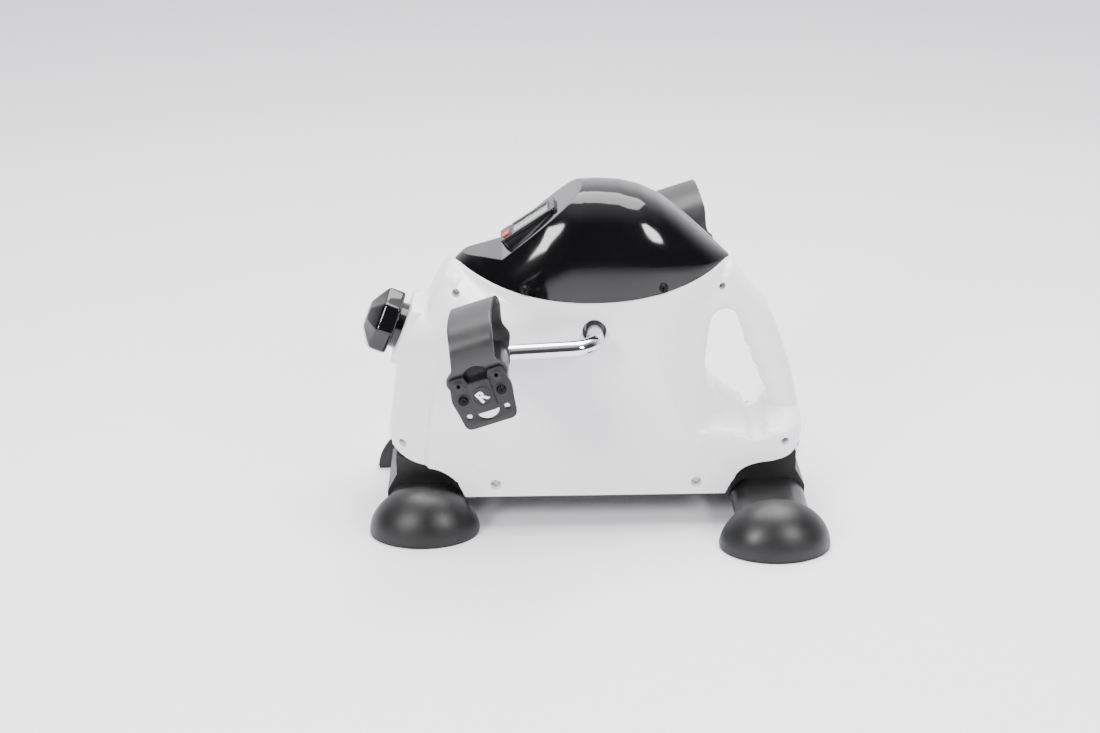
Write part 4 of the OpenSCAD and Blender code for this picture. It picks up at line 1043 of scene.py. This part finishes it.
def meter_place(points):
    """Meter coordinates: the plate helper's depth points out of the face."""
    p = np.asarray(points, float)
    x = METER_AT[0] + p[:, 0] * math.cos(METER_LEAN) - p[:, 1] * math.sin(METER_LEAN)
    z = METER_AT[1] + p[:, 0] * math.sin(METER_LEAN) + p[:, 1] * math.cos(METER_LEAN)
    return np.column_stack([x, p[:, 2], z])


window_hole, button_hole = box_outline(-14, 20, -10, 10, 1.5), box_outline(-24.2, -17.4, -10, 0, 1.5)
layers = [
    plate(box_outline(-26.5, 26.5, -15.5, 15.5, 4), [box_outline(-24.6, 24.6, -13.6, 13.6, 2)], -15.8, -3.0),
    plate(box_outline(-26.5, 26.5, -15.5, 15.5, 4), [window_hole, button_hole], -3.1, -0.7),
    plate(rounded([(-16.4, -15.5), (-16.4, 15.5), (-26.5, 15.5), (-26.5, -15.5)], 2.4), [button_hole], -0.8, 0.0),
    plate(box_outline(-15.4, 21.4, -15.5, 15.5, 1.0), [window_hole], -0.8, 0.0),
    plate(rounded([(22.4, -15.5), (26.5, -15.5), (26.5, 15.5), (22.4, 15.5)], 1.6), [], -0.8, 0.0)]
corners, faces = joined(layers)
case = make_piece("meter_housing", meter_place(corners), faces, case_abs, 40, [edge_bevel(0.35)])
keep(case, "stand", "black_plastic", "meter_case")
corners, faces = plate(box_outline(-23.8, -17.8, -9.5, -0.5, 1.3), [], -5.0, 1.2)
button = make_piece("meter_reset_button", meter_place(corners), faces, red_abs, 40, [edge_bevel(0.7, 50, 3)])
keep(button, "button", "red_plastic", "meter_button")

# %% [markdown]
# Sixteen cross-head screws hold the machine together where a hand can reach. They are the same
# shape at different sizes, so one tree makes them all: a shallow cone, less a cross, on a
# washer. It is set on points that know which way they face, and each is left at its own angle.

# %% A tree that sets screws
screw_tree, given, result = node_tree("screws", Radius="NodeSocketFloat", Height="NodeSocketFloat",
                                      Finish="NodeSocketMaterial")


def times(a, b):
    return add(screw_tree, "ShaderNodeMath", {0: a, 1: b}, operation="MULTIPLY").outputs["Value"]


def vector(x, y, z):
    return add(screw_tree, "ShaderNodeCombineXYZ", {"X": x, "Y": y, "Z": z}).outputs["Vector"]


radius, height = given["Radius"], given["Height"]
head = add(screw_tree, "GeometryNodeMeshCone", {"Vertices": 36, "Radius Top": times(radius, 0.74),
                                                "Radius Bottom": radius, "Depth": height})
cuts = []
for long_side in ("x", "y"):
    wide, thin = times(radius, 1.16), times(radius, 0.27)
    size = vector(wide, thin, height) if long_side == "x" else vector(thin, wide, height)
    cube = add(screw_tree, "GeometryNodeMeshCube", {"Size": size})
    cuts.append(add(screw_tree, "GeometryNodeTransform", {
        "Geometry": cube.outputs["Mesh"], "Translation": vector(0.0, 0.0, height)}).outputs["Geometry"])
crossed = add(screw_tree, "GeometryNodeMeshBoolean", {"Mesh 1": head.outputs["Mesh"]},
              operation="DIFFERENCE")
for cut in cuts:
    screw_tree.links.new(cut, crossed.inputs["Mesh 2"])
washer = add(screw_tree, "GeometryNodeMeshCylinder", {"Vertices": 36, "Radius": times(radius, 1.2),
                                                      "Depth": times(height, 0.4)})
both = add(screw_tree, "GeometryNodeJoinGeometry")
screw_tree.links.new(crossed.outputs["Mesh"], both.inputs["Geometry"])
screw_tree.links.new(washer.outputs["Mesh"], both.inputs["Geometry"])
facing_now = add(screw_tree, "GeometryNodeInputNamedAttribute", {"Name": "facing"},
                 data_type="FLOAT_VECTOR")
upright = add(screw_tree, "FunctionNodeAlignRotationToVector", {"Vector": facing_now.outputs["Attribute"]},
              axis="Z")
angle = add(screw_tree, "FunctionNodeRandomValue", {"Max": 1.5, "Seed": 7}, data_type="FLOAT")
spin = add(screw_tree, "FunctionNodeAxisAngleToRotation", {"Axis": (0.0, 0.0, 1.0),
                                                           "Angle": [o for o in angle.outputs if o.enabled][0]})
turned = add(screw_tree, "FunctionNodeRotateRotation", {"Rotation": upright.outputs["Rotation"],
                                                        "Rotate By": spin.outputs["Rotation"]},
             rotation_space="LOCAL")
place_on(screw_tree, result, given["Geometry"], both.outputs["Geometry"], turned.outputs["Rotation"],
         given["Finish"])
print("screw tree:", len(screw_tree.nodes), "nodes")

# %% [markdown]
# Each group of screws is one piece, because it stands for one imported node. The points come from
# the wells and seats already cut, so a screw always sits at the bottom of its hole.

# %% Screws in their places
black_oxide = finish("screw_black_oxide", "#2A2A2C", "#1A1A1C", (0.22, 0.36), 1.0, 0.02,
                     metal=1.0, patch_mm=4)
both_sides = [(0, s, 0) for _ in (0, 1) for s in (-1, 1)]


def set_screws(name, points, facing, radius_mm, height_mm, material, body, slot, node):
    heads = grow(name, screw_tree, points, {"Radius": radius_mm * MM, "Height": height_mm * MM,
                                            "Finish": material}, facing=facing)
    keep(heads, body, slot, node)


set_screws("cover_screw_heads", [(x, s * 48.2, 206.3) for x in (-56.3, 56.3) for s in (-1, 1)],
           both_sides, 3.6, 1.6, black_oxide, "stand", "zinc_steel", "cover_screws")
set_screws("shell_screw_heads", [(w[0], -f, w[1]) for w, f in zip(WELLS[:4], well_floor)],
           [(0, -1, 0)] * 4, 3.4, 2.0, zinc, "stand", "zinc_steel", "shell_screws")
set_screws("base_screw_heads",
           [(w[0], s * f, w[1]) for w, f in zip(WELLS[4:], well_floor[4:]) for s in (-1, 1)],
           both_sides, 4.6, 2.2, zinc, "stand", "zinc_steel", "base_screws")
for side in ("right", "left"):
    s = SIGN[side]
    seats = [(-15.2, 182.1, 0.8), (15.2, 182.1, 0.8), (-15.2, 105.9, 0.8), (15.2, 105.9, 0.8)]
    set_screws(f"pedal_screw_heads_{side}", pedal_place(seats, side),
               [(0, s, 0), (0, s, 0), (0, -s, 0), (0, -s, 0)], 3.6, 1.6, black_oxide,
               f"pedal_{side}", "zinc_steel", f"pedal_screws_{side}")
